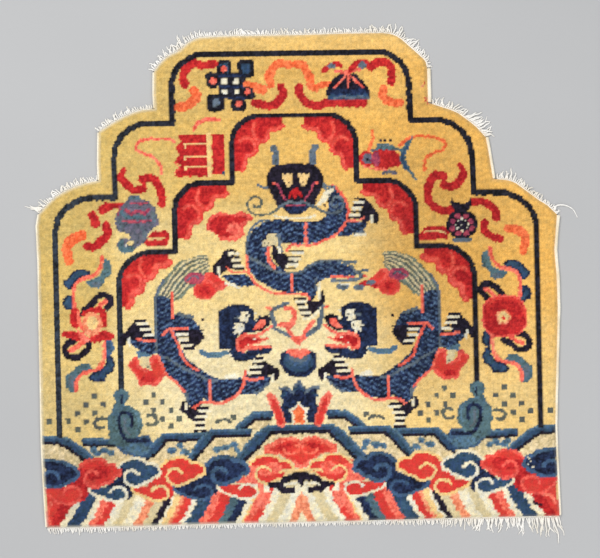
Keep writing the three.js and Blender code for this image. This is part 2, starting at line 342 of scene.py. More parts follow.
@both_sides()
def draw_sea_clouds():
    """The row of cloud heads that rise from the sea, over their dark and red roots."""
    patch("red", (-312, 86), (-298, 90), (-296, 58), (-299, 46), (-306, 38), (-314, 36), (-330, 60))
    patch("navy", (-256, 84), (-234, 88), (-236, 52), (-238, 43), (-243, 38), (-250, 42), (-276, 55),
          (-270, 62), (-258, 68))
    patch("scarlet", (-197, 84), (-176, 88), (-179, 48), (-184, 38), (-192, 50), (-216, 56), (-214, 64),
          (-198, 69))
    patch("navy", (-134, 84), (-116, 88), (-117, 52), (-121, 42), (-132, 50), (-180, 53), (-138, 68))
    patch("cream", (-64, 66), (-48, 62), (-44, 44), (-58, 44))
    patch("coral", (-74, 88), (-50, 88), (-54, 54), (-54, 45), (-43, 41), (-46, 34), (-54, 20), (-72, 24),
          (-60, 46), (-62, 56), (-92, 57), (-86, 65), (-74, 69))
    cloud("scarlet", "rose",
          ((-372, 56), (-358, 49), (-350, 42), (-340, 36), (-330, 34), (-320, 36), (-313, 40), (-310, 47)),
          ((-312, 54), (-318, 58), (-326, 58), (-332, 54), (-334, 49)))
    # Small clouds: the inner and rim dyes, the place of the round end, the length and the rim's width
    for inner, rim, right, length, width in (
            ("blue", "cream", -246, 52, 4.2), ("scarlet", "butter", -188, 50, 4.2),
            ("navy", "band", -126, 54, 4.2), ("scarlet", "cream", -63, 56, 3.6)):
        edge, swirl = (np.array(part) * (length / SMALL_LENGTH, 1) + (right, 0) for part in SMALL_CLOUD)
        cloud(inner, rim, edge, swirl, width)
    cloud("navy", "band",
          ((-372, 96), (-358, 96), (-344, 95), (-334, 93), (-327, 89), (-319, 86), (-314, 81), (-313, 75),
           (-318, 69), (-328, 64), (-338, 59), (-350, 58), (-361, 61), (-364, 68)),
          ((-361, 75), (-355, 79.5), (-348, 79.5), (-343, 76), (-340, 71)), width=5)
    stroke("butter", 5, (-362, 50), (-360, 38), (-361, 26))
    # Large clouds: the inner, rim and core dyes, the place of the neck, the length and the rim's width
    for inner, rim, core, left, length, width in (
            ("scarlet", "rose", "red", -312, 58, 4.6), ("blue", "cream", "blue", -256, 58, 4.2),
            ("scarlet", "butter", "scarlet", -197, 62, 4.2), ("navy", "band", "navy", -133, 58, 6),
            ("scarlet", "butter", "coral", -72, 60, 3.6)):
        edge, swirl = (np.array(part) * (length / LARGE_LENGTH, 1) + (left, 0) for part in LARGE_CLOUD)
        cloud(inner, rim, edge, swirl, width, core)
    stroke("sand", 3, (-258, 85), (-250, 93))
    stroke("sand", 3, (-73, 89), (-64, 95))


@both_sides()
def draw_middle_clouds():
    """The clouds under the rock, a red one over a dark one."""
    patch("coral", (2, 114), (-7, 120), (-20, 121.5), (-34, 118), (-44, 112), (-53, 109), (-53, 100),
          (-44, 97), (-30, 97), (-22, 90), (-12, 87), (-10, 78), (2, 77))
    patch("scarlet", (2, 106), (-8, 114), (-22, 116), (-46, 104), (-40, 100), (-26, 98), (-16, 90), (2, 82))
    patch("red", (-10, 108), (-16, 113), (-26, 110), (-36, 104), (-28, 102), (-18, 104))
    stroke("coral", 3.6, (-25, 104), (-20, 98), (-11, 97), (-4, 101), (-4, 107), (-9, 109))
    patch("black", (-48, 57.5), (-31, 58), (-27, 65), (-14, 69), (-10, 72), (2, 72), (2, 54), (-6, 60),
          (-16, 59), (-25, 55), (-20, 51), (-10, 51), (-10, 42), (-30, 43), (-37, 50), (-48, 51))
    stroke("cream", 3, (-26, 53.5), (-20, 55.5), (-8, 56))
    patch("black", (-8, 62), (6, 62), (-1, 49))
    stroke("butter", 4, (-30, 73), (-18, 74.5), (2, 75))


# The path of the line round the field, from the middle of the top down the left side
INNER_LINE = (
    (AXIS, 571), (-56, 571), (-68, 566), (-78, 558), (-85, 547), (-88, 535), (-88, 478), (-136, 478),
    (-148, 474), (-159, 465), (-167, 454), (-170, 443), (-170, 384), (-208, 384), (-222, 381),
    (-235, 372), (-245, 361), (-250, 347), (-250, 186),
)


@both_sides()
def draw_frames():
    """The dark guard line round the cloth, and the finer line round the field."""
    outer = (
        (AXIS, 658), (-132, 658), (-143, 653), (-155, 644), (-163, 632), (-167, 619), (-168, 562),
        (-210, 562), (-226, 556), (-240, 545), (-249, 530), (-252, 512), (-252, 460), (-294, 459),
        (-310, 453), (-325, 443), (-334, 430), (-338, 415), (-338, 130),
    )
    line("line", 8.8, *outer)
    line("line", 7.8, *INNER_LINE)


@both_sides()
def draw_spandrels():
    """The red cloud corners inside each step of the inner line: their lobed edges, and two arcs in each."""
    edge = ((-88, 494), (-74, 496), (-70, 502), (-69, 512), (-66, 516), (-59, 517), (-55, 521),
            (-54, 529), (-51, 534), (-42, 536), (-38, 540), (-37, 547), (-33, 552), (-22, 552),
            (-16, 556), (-16, 572))
    arcs = (((-55, 561), (-57.5, 550), (-55.5, 542), (-50, 536)),
            ((-76, 536), (-71, 539.5), (-64, 539.5), (-58, 535), (-55, 528)))
    for step, (shift, rim) in enumerate((((0, 0), 3.4), ((-80, -93), 4.2), ((-163, -187), 7))):
        lobes = np.array(edge) + shift
        patch("red", *lobes, *INNER_LINE[1 + 6 * step:6 + 6 * step])
        line("scarlet", rim + 3.6, *lobes[1:-1])
        line("rose", rim, *lobes[1:-1])
        for arc in arcs:
            stroke("scarlet", 7, *(np.array(arc) + shift))
            stroke("rose", 3.6, *(np.array(arc) + shift))


@both_sides()
def draw_shore():
    """The grey spirals that end the inner line, and the small squares and hooks strewn round them."""
    disc("teal", -250, 183, 11, 10)
    stroke("teal", 14, (-250, 178), (-256, 165), (-262, 148))
    disc("teal", -246, 145, 25)
    patch("teal", (-268, 150), (-269, 118), (-250, 112), (-232, 122), (-226, 140))
    stroke("navy", 5.2, (-214, 121), (-236, 121), (-244, 122), (-250, 131), (-254, 142), (-254, 153),
           (-248, 160), (-240, 159), (-236, 152), (-237, 141))
    stroke("wave", 3, (-230, 158), (-226, 148), (-228, 136))
    stroke("slate", 3.4, (-246, 152), (-246, 136), (-240, 130))
    block("navy", -251, 172, -247, 186)
    squares("olive", 8, (-288, 184), (-300, 172), (-276, 173), (-312, 161), (-288, 161), (-352, 150),
            (-325, 150), (-300, 149), (-312, 138), (-205, 185), (-216, 174), (-193, 175), (-205, 163),
            (-181, 162), (-193, 150), (-170, 151), (-181, 140), (-94, 151))
    stroke("olive", 5.4, (-273, 152), (-284, 152), (-289, 146), (-285, 140), (-277, 140))
    stroke("olive", 5.4, (-214, 155), (-206, 156), (-201, 149), (-206, 142), (-215, 143))
    stroke("olive", 4.4, (-118, 143), (-112, 147), (-103, 147), (-98, 143))


# Dragons, pearl and rock

def bars(colour, width, spans):
    """Level bars, each from one x to another at its height."""
    for x0, x1, y in spans:
        line(colour, width, (x0 + 1, y), (x1 - 1, y))


def claw(mass, dark, pale, spur=None):
    """A dragon's foot: a black paw with dark and pale toes, and a pale gap behind its spur if it has one."""
    patch("black", *mass)
    bars("cream", 4.6, pale)
    bars("black", 3.9, dark)
    if spur:
        line("cream", 4, *spur)


def draw_upper_dragon():
    """The body and the feet of the facing dragon, coiled under its head."""
    stroke("scale", (10, 25, 30, 30, 31, 33, 33, 32, 34, 31, 28, 27, 24, 20, 7), (51, 466), (58, 448),
           (57, 428), (42, 411), (12, 406), (-26, 409), (-48, 401), (-55, 382), (-50, 361), (-32, 345),
           (-8, 336), (12, 341), (33, 352), (56, 355), (80, 348))
    patch("scale", (26, 345), (26, 318), (16, 306), (14, 320), (4, 324))
    patch("scale", (66, 422), (92, 420), (102, 418), (96, 411), (86, 405), (70, 400), (57, 401))
    patch("scale", (-108, 349), (-72, 351), (-58, 334), (-78, 333), (-92, 337), (-103, 344))
    stroke("slate", 3.6, (-70, 372), (-71, 388), (-68, 402), (-62, 414), (-52, 423), (-38, 425))
    stroke("slate", 3.6, (-69, 374), (-56, 368), (-42, 360), (-28, 352), (-8, 350), (6, 352), (16, 359),
           (30, 365), (50, 367), (66, 365), (80, 365))
    stroke("slate", 5, (74, 364), (82, 363))
    stroke("slate", 4.2, (64, 366), (76, 357), (84, 350), (98, 352))
    stroke("slate", 6, (86, 348), (90, 344))
    stroke("coral", 3.6, (46, 344), (64, 344), (80, 342))
    stroke("slate", 5, (48, 339), (58, 338), (78, 339), (90, 342))
    stroke("slate", 6.5, (57, 330), (64, 328), (70, 330))
    stroke("slate", 7, (82, 328), (90, 328))
    stroke("cream", 3, (58, 335), (62, 333), (74, 333))
    stroke("slate", 3.6, (27, 342), (25, 334), (27, 326))
    stroke("cream", 3.6, (31, 337), (30, 326), (30, 313))
    stroke("cream", 3, (28, 430), (10, 427), (-10, 427), (-30, 430))
    stroke("coral", 4, (53, 472), (62, 463), (70, 451), (73, 438), (72, 427), (66, 413), (54, 402),
           (38, 395), (22, 389), (4, 389), (-8, 389), (-14, 382))
    line("coral", 4.6, (13, 391), (13, 419))
    line("coral", 3.8, (-8, 325), (-8, 349))
    stroke("coral", 3.8, (-71, 376), (-70, 362), (-66, 349), (-59, 338), (-48, 329), (-34, 323), (-14, 321),
           (6, 321), (13, 319), (17, 311))
    stroke("coral", 4.4, (-38, 389), (-41, 377), (-38, 366), (-31, 358))
    patch("straw", (-48, 396), (-42, 404), (-34, 407), (-26, 404), (-24, 396), (-29, 390), (-40, 389),
          (-47, 388))
    stroke("slate", 5, (-27, 404), (-23, 398), (-24, 388), (-21, 381))
    squares("black", 2.5, (-43, 400), (-46, 393), (-40, 394))
    claw(
        ((-35, 390), (-30, 391), (-29, 384), (-22, 380), (-14, 375), (-9, 371), (-12, 364), (-14, 357),
         (-21, 356), (-28, 362), (-35, 373)),
        ((-11, 10, 381), (-12, 5, 373), (-14, 1, 365.5), (-19, -3, 357)),
        ((-6, 9, 377.5), (-11, 4, 369.3), (-15, 1, 361.3)),
        ((-26, 386), (-24, 380)),
    )
    claw(
        ((84, 456), (89, 454), (99, 453), (104, 446), (108, 440), (115, 432), (117, 426), (113, 417),
         (108, 418), (104, 421), (98, 418), (88, 424), (91, 432), (93, 440), (92, 447)),
        ((82, 98, 453), (80, 95, 443.6), (77, 92, 434.6), (73, 89, 426.6)),
        ((82, 95, 448.4), (79, 91, 439), (76, 88, 430.6)),
        ((106, 428), (107, 420)),
    )
    stroke("coral", 3, (70, 422), (88, 422), (95, 427))
    claw(
        ((-100, 384), (-90, 386), (-84, 380), (-90, 374), (-90, 366), (-86, 358), (-96, 358), (-104, 352),
         (-112, 348), (-118, 352), (-118, 363), (-108, 374)),
        ((-102, -84, 383), (-94, -80, 374.5), (-91, -78, 365.7), (-88, -74, 357.5)),
        ((-95, -82, 379), (-91, -80, 370.2), (-88, -76, 361.6)),
        ((-110, 360), (-109, 348)),
    )
    stroke("coral", 3, (-98, 360), (-91, 353), (-72, 354))
    stroke("cream", 4, (-101, 338), (-90, 335), (-82, 331))
    stroke("slate", 4, (80, 404), (94, 406))
    stroke("cream", 4, (82, 401), (96, 403))
    claw(
        ((14, 313), (22, 310), (30, 310), (33, 316), (32, 324), (35, 326), (38, 313), (36, 305),
         (31, 303), (25, 296), (20, 292), (14, 294), (14, 303), (12, 309)),
        ((-6, 11, 314.5), (-2, 10, 305.6), (1, 14, 298), (5, 18, 290.4)),
        ((-2, 12, 310), (1, 14, 301.8), (4, 16, 294.2)),
    )
    stroke("cream", 4.6, (33, 300), (26, 294), (16, 286), (8, 286))
    stroke("slate", 4, (36, 304), (31, 296), (33, 290))


def draw_upper_head():
    """The head of the facing dragon, with its horns, eyes and whiskers."""
    patch("slate", (-32, 502), (-31, 518), (-35, 524), (-31, 531), (-26, 530), (-23, 522), (-22, 502))
    patch("slate", (20, 502), (21, 521), (24, 530), (34, 531), (34, 526), (30, 520), (30, 502))
    stroke("slate", 4, (-37, 470), (-44, 471), (-51, 474))
    stroke("slate", 4, (37, 480), (43, 472), (54, 470))
    stroke("slate", 4, (40, 470), (44, 465))
    patch("cream", (52, 469), (54, 466), (46, 455), (40, 448), (32, 443), (28, 444), (36, 455), (40, 463))
    squares("black", 3, (50, 470), (47, 459), (44, 450), (40, 444))
    patch("black", (-28, 502), (-12, 503.5), (10, 503.5), (28, 502), (38, 489), (40, 480), (38, 472),
          (30, 455), (27, 445), (-18, 442), (-27, 445), (-31, 455), (-35, 463), (-39, 473), (-40, 486),
          (-36, 495))
    patch("navy", (-20, 446), (20, 446), (15, 437), (7, 432), (-6, 431.5), (-15, 436))
    stroke("slate", 4.2, (-28, 438), (-21, 444), (-10, 449), (0, 448.4), (11, 449), (21, 444), (31, 440),
           (38, 435))
    stroke("mauve", 2.6, (-13, 444.6), (13, 444.6))
    for side in (-1, 1):
        eye = [(1 + side * x, y) for x, y in ((4, 491), (20, 491), (20, 486), (16, 480), (14, 471),
                                              (8, 471), (4, 479))]
        patch("butter", *eye)
        for x, y, size in ((8, 489.5, 2.8), (15, 489.5, 2.8), (10, 477, 3.4)):
            squares("black", size, (1 + side * x, y))
        cheek = [(side * x, y) for x, y in ((31, 477), (26, 475), (21, 466), (17, 457), (13, 452))]
        stroke("mauve", 2.8, *cheek)
        squares("coral", 4, (side * 30, 476))
    patch("red", (0, 471), (5, 466), (10, 460), (10, 455), (4, 457), (0, 454), (-5, 457), (-9, 454),
          (-9, 460))
    squares("black", 2.4, (-4, 458), (4, 458))
    stroke("olive", 3.2, (-26, 440), (-33, 435), (-44, 432), (-56, 433), (-65, 438), (-68, 447), (-63, 455),
           (-55, 458), (-48, 453), (-49, 445), (-56, 443), (-59, 448))
    stroke("olive", 3.2, (26, 441), (40, 434))
    stroke("slate", 3.8, (38, 436), (48, 433), (59, 435), (66, 442), (66, 451), (60, 456), (52, 453),
           (50, 446), (55, 442), (59, 446))


@both_sides()
def draw_lower_dragons():
    """The bodies of the two dragons in profile."""
    stroke("scale", (22, 24, 28, 34, 32, 29, 33, 36, 32, 28, 16), (-186, 322), (-186, 300), (-184, 280),
           (-185, 262), (-181, 245), (-170, 228), (-154, 210), (-136, 196), (-118, 189), (-100, 190),
           (-84, 198))
    patch("scale", (-175, 296), (-160, 296), (-146, 289), (-139, 279), (-133, 264), (-186, 283))
    patch("scale", (-236, 262), (-200, 266), (-198, 244), (-206, 240), (-222, 245), (-234, 254))
    patch("scale", (-84, 182), (-60, 181), (-48, 191), (-38, 204), (-50, 210), (-76, 208))
    patch("scale", (-172, 200), (-140, 190), (-134, 172), (-148, 160), (-158, 172), (-163, 188))
    patch("scale", (-198, 246), (-194, 229), (-185, 213), (-158, 188))
    patch("scale", (-197, 296), (-198, 314), (-176, 296))


@both_sides()
def draw_lower_limbs():
    """The lower dragons' backs, bellies and feet."""
    stroke("slate", 3.8, (-200, 320), (-200, 268), (-199, 244))
    stroke("slate", 3.8, (-193, 238), (-184, 234), (-170, 225), (-156, 217), (-142, 211), (-128, 203),
           (-116, 202))
    stroke("slate", 5, (-164, 189), (-158, 182), (-158, 174))
    stroke("slate", 5, (-167, 297), (-158, 294), (-149, 292))
    stroke("slate", 3.6, (-64, 183), (-54, 187), (-44, 197))
    line("coral", 4.4, (-176, 327), (-176, 292))
    stroke("coral", 3.8, (-178, 274), (-174, 264), (-168, 252), (-164, 238), (-156, 226), (-142, 217))
    stroke("coral", 3.8, (-197, 238), (-193, 226), (-187, 213), (-178, 204), (-168, 195), (-161, 188))
    stroke("coral", 4, (-150, 163), (-143, 169), (-130, 172), (-110, 170), (-96, 176), (-84, 186),
           (-78, 200), (-76, 214))
    line("coral", 4.4, (-126, 175), (-126, 202))
    patch("cream", (-108, 206), (-96, 204), (-86, 204), (-88, 210), (-100, 212))
    claw(
        ((-160, 271), (-151, 275), (-142, 275), (-131, 264), (-138, 255), (-147, 247), (-158, 247),
         (-152, 254), (-155, 263)),
        ((-174, -154, 272), (-168, -154, 265), (-166, -152, 256), (-162, -146, 247.5)),
        ((-170, -156, 268.6), (-168, -155, 260.5), (-162, -150, 251.8)),
    )
    claw(
        ((-228, 288), (-236, 281), (-244, 272), (-251, 266), (-251, 255), (-243, 254), (-240, 262),
         (-230, 262), (-216, 264), (-214, 272), (-219, 280)),
        ((-230, -213, 288), (-224, -209, 280), (-220, -206, 271.6), (-215, -202, 263.4)),
        ((-226, -211, 284), (-222, -207, 275.8), (-216, -204, 267.4)),
        ((-238, 264), (-237, 254)),
    )
    stroke("coral", 3.8, (-226, 263), (-216, 260), (-201, 260))
    line("coral", 3.8, (-190, 268), (-182, 276), (-156, 276))
    claw(
        ((-56, 233), (-50, 229), (-40, 223), (-29, 215), (-28, 206), (-32, 199), (-37, 201), (-36, 209),
         (-44, 208), (-54, 206), (-60, 212), (-56, 222)),
        ((-62, -50, 232), (-65, -52, 224.8), (-70, -53, 216.4), (-74, -56, 207.6)),
        ((-66, -50, 228.8), (-70, -52, 220.6), (-73, -55, 212)),
        ((-38, 208), (-37, 200)),
    )
    stroke("coral", 3.8, (-75, 204), (-62, 202), (-51, 205))
    claw(
        ((-166, 174), (-169, 163), (-160, 154), (-150, 145), (-146, 133), (-138, 134), (-146, 146),
         (-140, 158), (-148, 164), (-156, 166), (-158, 174)),
        ((-146, -127, 164), (-149, -132, 156), (-150, -134, 148), (-148, -135, 140), (-150, -132, 132.5)),
        ((-141, -126, 160), (-146, -131, 152), (-148, -134, 144), (-146, -134, 136)),
        ((-161, 170), (-160, 163)),
    )


@both_sides()
def draw_hair_fans():
    """The striped tail hair that sweeps up and in, with its mauve tuft."""
    patch("sage", (-198, 322), (-188, 344), (-178, 356), (-164, 370), (-150, 374), (-134, 378), (-123, 376),
          (-123, 356), (-134, 349), (-143, 336), (-153, 330), (-163, 318), (-173, 314), (-176, 322))
    outside = np.array(((-194, 325), (-186, 340), (-173, 357), (-158, 371), (-139, 377), (-125, 377)))
    inside = np.array(((-173, 317), (-163, 324), (-154, 335), (-144, 343), (-133, 352), (-124, 359)))
    for n in range(9):
        stroke(("straw", "olive")[n % 2], 2.4, *(outside + (inside - outside) * (0.08 + 0.105 * n)))
    disc("mauve", -144, 346, 14, 8.5)
    stroke("smoke", 3, (-154, 343), (-145, 349), (-138, 346))
    stroke("slate", 4, (-201, 312), (-196, 330), (-188, 344))


@both_sides()
def draw_lower_heads():
    """The heads of the two dragons in profile, with open jaws."""
    patch("navy", (-112, 300), (-104, 302), (-98, 307), (-84, 308.5), (-70, 306), (-62, 300), (-61, 291),
          (-64, 284), (-56, 291), (-44, 292), (-52, 271), (-66, 268), (-84, 266), (-87, 254), (-78, 240),
          (-66, 245), (-38, 250), (-38, 242), (-44, 237), (-58, 237), (-64, 231), (-74, 228), (-90, 229),
          (-96, 236), (-99, 245), (-112, 246))
    patch("black", (-62, 268), (-62, 276), (-54, 290), (-44, 292), (-38, 287), (-42, 277), (-52, 270))
    patch("coral", (-65, 271), (-60, 278), (-52, 287), (-46, 287), (-46, 279), (-54, 273))
    stroke("coral", 4.2, (-39, 276), (-50, 268), (-62, 264), (-76, 265), (-86, 257), (-86, 246))
    patch("coral", (-87, 258), (-76, 265), (-54, 262), (-50, 257), (-60, 252), (-70, 248), (-76, 241),
          (-84, 241), (-88, 248))
    patch("red", (-84, 256), (-74, 262), (-64, 261), (-52, 258), (-60, 254), (-72, 250), (-78, 245),
          (-84, 248))
    stroke("coral", 5, (-74, 247), (-56, 247), (-41, 248))
    stroke("coral", 3, (-58, 253), (-44, 260))
    squares("cream", 3.4, (-71, 251), (-62, 259))
    patch("cream", (-81, 298), (-70, 297.5), (-67, 291), (-71, 288), (-71, 282), (-83, 284), (-83, 290),
          (-80, 292))
    patch("cream", (-79, 282), (-76, 279), (-76, 273), (-80, 270), (-81, 265), (-89, 265), (-91, 270),
          (-88, 273), (-95, 275), (-90, 277), (-89, 282))
    stroke("slate", 2.6, (-88, 289.5), (-82, 290))
    squares("black", 3.4, (-72, 291.5), (-79, 276.5))
    squares("navy", 3.2, (-86.5, 267), (-76, 281.5))
    squares("cream", 3, (-60, 286), (-60, 296))
    squares("black", 3.6, (-134, 288), (-134, 273))
    stroke("wave", 7.6, (-137, 242), (-128, 238.5), (-112, 238.5), (-102, 241))
    squares("cream", 3, (-96, 238), (-93, 233), (-98, 244))


def draw_pearl():
    """The flaming pearl between the dragons."""
    stroke("coral", (5, 7, 7.5, 8, 8, 6), (-18, 301), (-9, 299), (-5, 291), (-7, 283), (-14, 278),
           (-26, 278))
    stroke("coral", (7, 7, 8, 9, 8, 7, 5), (-15, 277), (-13, 267), (-7, 259), (AXIS, 256), (7, 260),
           (12, 271), (22, 282))
    patch("coral", (-8, 256), (6, 256), (AXIS + 2, 249), (AXIS - 2, 249))
    stroke("slate", 5.4, (-38, 297), (-28, 303), (-15, 308))
    stroke("slate", 8, (-38, 293), (-35, 285), (-33, 279))
    stroke("slate", 5, (-38, 275), (-28, 270), (-13, 261))
    stroke("slate", 5.4, (26, 304), (33, 298), (33, 290), (29, 284))
    stroke("slate", 7, (31, 286), (29, 275), (21, 269), (12, 264))
    stroke("coral", 4, (-44, 303), (-38, 301))
    stroke("coral", 4, (38, 302), (42, 303))
    with both_sides():
        patch("navy", (1, 204), (-12, 205.5), (-22, 212), (-27, 223), (-26, 237), (-17, 243), (1, 243))
    disc("blue", AXIS, 227, 21, 16)
    disc("band", AXIS, 231, 18, 12)
    disc("slate", AXIS, 234, 14, 9)
    patch("coral", (-20, 241), (-13, 244), (AXIS, 243), (12, 245), (16, 241), (10, 235), (4, 231), (-5, 231),
          (-12, 235))


def draw_rock():
    """The rock that rises from the sea under the pearl, between two flames."""
    with both_sides():
        patch("navy", (-7, 193), (-10, 186), (-28, 190), (-25, 181), (-24, 170), (-28, 160), (-30, 140),
              (1, 140), (1, 199))
        stroke("slate", 4.4, (-28, 189), (-18, 189), (-10, 183))
        stroke("blue", 5, (-26, 178), (-20, 182))
    line("slate", 4.4, (-8, 190), (-1.5, 198), (5, 190))
    stroke("blue", 4, (-8, 187), (-2, 190), (4, 187))
    patch("cream", (-17, 160), (-9, 162), (-2, 170), (5, 162), (13, 160), (8, 152), (9, 139), (-13, 139),
          (-12, 152))
    patch("orange", (-12, 158), (-6, 160), (-2, 166), (2, 160), (8, 158), (4, 151), (6, 139), (-10, 139),
          (-8, 151))
    with both_sides():
        stroke("coral", (10, 14, 13, 12), (-42, 178), (-38, 171), (-33, 160), (-27, 141))
        stroke("scarlet", (6, 9, 9), (-38, 172), (-33, 158), (-28, 143))


def draw_field_clouds():
    """The red clouds beside the dragons."""
    patch("rose", (-126, 415), (-122, 430), (-108, 437), (-90, 434), (-76, 437), (-60, 429), (-72, 418),
          (-74, 404), (-88, 397), (-106, 398), (-112, 406), soft=True)
    patch("red", (-121, 415), (-118, 427), (-104, 432), (-80, 431), (-68, 428), (-79, 421), (-90, 424),
          (-97, 414), (-88, 403), (-106, 404), soft=True)
    stroke("coral", 4, (-97, 413), (-90, 419), (-80, 415), (-80, 406), (-92, 402))
    with both_sides():
        patch("rose", (-146, 330), (-142, 340), (-132, 350), (-122, 355), (-114, 350), (-106, 342),
              (-97, 336), (-104, 330), (-114, 326), (-122, 318), (-136, 316), (-144, 322), soft=True)
        disc("scarlet", -130, 329, 14, 10)
        disc("red", -130, 329, 7, 6)
        patch("scarlet", (-126, 346), (-118, 351), (-103, 340), (-112, 334))
    stroke("red", 7, (88, 331), (98, 334), (108, 330))
    stroke("coral", 3, (86, 345), (96, 343))
    disc("slate", 103, 335, 7, 3.5)


@both_sides()
def draw_blossoms():
    """The red blossoms under the lower dragons."""
    patch("rose", (-241, 226), (-232, 238), (-226, 238), (-223, 226), (-212, 220), (-209, 238), (-198, 241),
          (-186, 212), (-194, 203), (-200, 197), (-224, 197), (-228, 209), (-235, 218))
    patch("scarlet", (-237, 226), (-230, 233), (-227, 222), (-214, 216), (-206, 220), (-204, 235),
          (-197, 234), (-190, 214), (-204, 201), (-222, 201), (-226, 212))
    disc("red", -213, 206, 9, 4)
    patch("wave", (-229, 246), (-216, 248), (-207, 241), (-211, 235), (-225, 236))
    patch("straw", (-222, 238), (-211, 238), (-209, 228), (-206, 218), (-221, 225))
    squares("olive", 3.6, (-212, 223))


# Emblems, ribbons and flowers of the border

def draw_endless_knot():
    """The endless knot at the top left, as a lattice between loops."""
    block("line", -104, 595, -66, 632)
    for x, y, width, height in (
        (-96, 639, 21, 24), (-65, 637, 24, 27), (-112, 622, 18, 23), (-108, 590, 24, 26), (-77, 587, 22, 20),
        (-64, 604, 23, 20),
    ):
        left, right, low, high = x - width / 2, x + width / 2, y - height / 2, y + height / 2
        patch("line", (left, low + 5), (left + 5, low), (right - 5, low), (right, low + 5),
              (right, high - 5), (right - 5, high), (left + 5, high), (left, high - 5))
    patch("blue", (-71, 645), (-59, 645), (-59, 632), (-66, 628), (-71, 634))
    line("blue", 3, (-100, 644), (-92, 644), (-91, 632))
    disc("slate", -108, 590, 5, 6)
    disc("coral", -111, 621, 5)
    for x, y in ((-96, 637), (-77, 588), (-64, 605)):
        disc("coral", x, y, 4.4)
    for y in (597, 612.5, 628):
        line("navy", 4, (-102, y), (-68, y))
    for x, y, width, height in ((-95.5, 620, 8, 9), (-80, 620, 6.4, 8), (-95, 605, 8, 7), (-79, 605, 7, 7)):
        block("cream", x - width / 2, y - height / 2, x + width / 2, y + height / 2)


def draw_top_ribbons():
    """The ribbons of the top border, and the parasol at its right."""
    stroke("orange", 12, (-5, 642), (-18, 644), (-28, 637), (-33, 626), (-31, 615))
    stroke("orange", 12, (5, 643), (14, 641), (20, 630), (25, 621), (25, 613))
    stroke("orange", 8, (-66, 616), (-52, 614))
    stroke("orange", 13, (-50, 609), (-42, 607))
    stroke("orange", 9, (30, 607), (38, 612), (50, 614))
    stroke("red", 12, (-54, 589), (-40, 585), (-26, 586), (-18, 594), (-14, 603), (-17, 611))
    stroke("red", 12, (9, 611), (8, 603), (12, 595), (20, 588), (32, 584), (48, 588))
    stroke("red", 12, (-110, 645), (-123, 643), (-136, 645), (-147, 637), (-151, 626), (-148, 617))
    stroke("orange", 13, (-137, 607), (-133, 600), (-141, 590), (-152, 585), (-158, 585))
    stroke("red", 12, (113, 639), (121, 644), (132, 643), (140, 636), (141, 624), (139, 616))
    stroke("orange", 12, (129, 606), (126, 598), (133, 590), (143, 586), (152, 587))
    patch("black", (46, 600), (48, 610), (55, 620), (64, 628), (75, 631), (88, 628), (99, 618), (106, 608),
          (109, 598), (102, 590), (52, 591))
    patch("navy", (52, 602), (58, 613), (72, 606), (84, 606), (98, 611), (104, 600), (98, 596), (56, 596))
    for x in (54, 66, 78, 90, 101):
        disc("blue", x, 595, 6.4, 5)
    stroke("slate", 3, (58, 594), (70, 596), (82, 594), (94, 596), (106, 594))
    for x in (56, 67, 78, 89, 98):
        disc("red", x, 586, 6, 5)
    line("red", 4, (50, 590), (102, 590))
    for foot in ((58, 609), (78, 609), (98, 609)):
        line("coral", 3, (77, 629), foot)
    stroke("coral", 5, (60, 632), (76, 631), (94, 634))
    stroke("red", 7, (44, 633), (51, 640), (61, 643), (67, 640))
    stroke("red", 9, (82, 634), (90, 642), (102, 644), (110, 635))
    disc("slate", 55, 640, 6, 4)
    disc("slate", 98, 640, 6, 5)


def draw_scroll_and_fish():
    """The bound scrolls on the left and the fish on the right, with their ribbons."""
    stroke("coral", 4.4, (-166, 536), (-176, 541), (-192, 541), (-208, 540), (-218, 535), (-219, 527),
           (-212, 521), (-202, 518), (-193, 512), (-187, 503), (-186, 492))
    stroke("coral", 5, (-139, 553), (-132, 562), (-120, 567), (-104, 566))
    patch("red", (-160, 547), (-122, 547), (-122, 487), (-168, 487), (-166, 497), (-158, 503), (-166, 510),
          (-160, 518), (-164, 530), (-157, 536), (-160, 541))
    for y in (533, 515.5, 501):
        line("butter", 3, (-152, y - 5), (-152, y), (-123, y))
    block("butter", -122, 486, -115, 548)
    block("red", -115, 489, -97, 547)
    line("coral", 2, (-168, 492), (-160, 500), (-166, 508))
    squares("blue", 5, (-100, 491.5))
    patch("red", (111, 520), (130, 522), (140, 519), (147, 515), (151, 500), (146, 497), (136, 497),
          (128, 494), (114, 494), (108, 500))
    disc("mauve", 115, 508, 5, 10)
    disc("red", 101, 509, 11, 11.5)
    disc("smoke", 103, 509, 8, 7.5)
    disc("mauve", 110, 509, 3, 6)
    squares("black", 4, (102, 509))
    stroke("slate", 3, (105, 522), (113, 520), (118, 523))
    stroke("coral", 3, (97, 498), (108, 495), (128, 493))
    patch("teal", (114, 522), (118, 530), (132, 530), (138, 528), (146, 523), (157, 521), (156, 517),
          (142, 520))
    stroke("slate", 2.4, (120, 527), (134, 527))
    squares("black", 4.6, (121.5, 534), (128.5, 534), (135.5, 534))
    stroke("smoke", 5, (124, 488), (132, 491), (142, 488))
    stroke("teal", (4, 7, 8.4, 8.4, 7, 3), (168, 539), (160, 528), (154, 517), (153, 506), (158, 495),
           (170, 479))
    stroke("blue", 3.4, (160, 526), (152, 512), (155, 499), (163, 490))
    stroke("orange", 4.6, (110, 548), (111, 540), (108, 530), (104, 521))
    stroke("orange", 4.6, (149, 527), (156, 533), (164, 538))
    stroke("orange", 4.6, (170, 539), (186, 539), (200, 537), (210, 533), (213, 526), (208, 519), (196, 516),
           (186, 509), (183, 501), (183, 492))


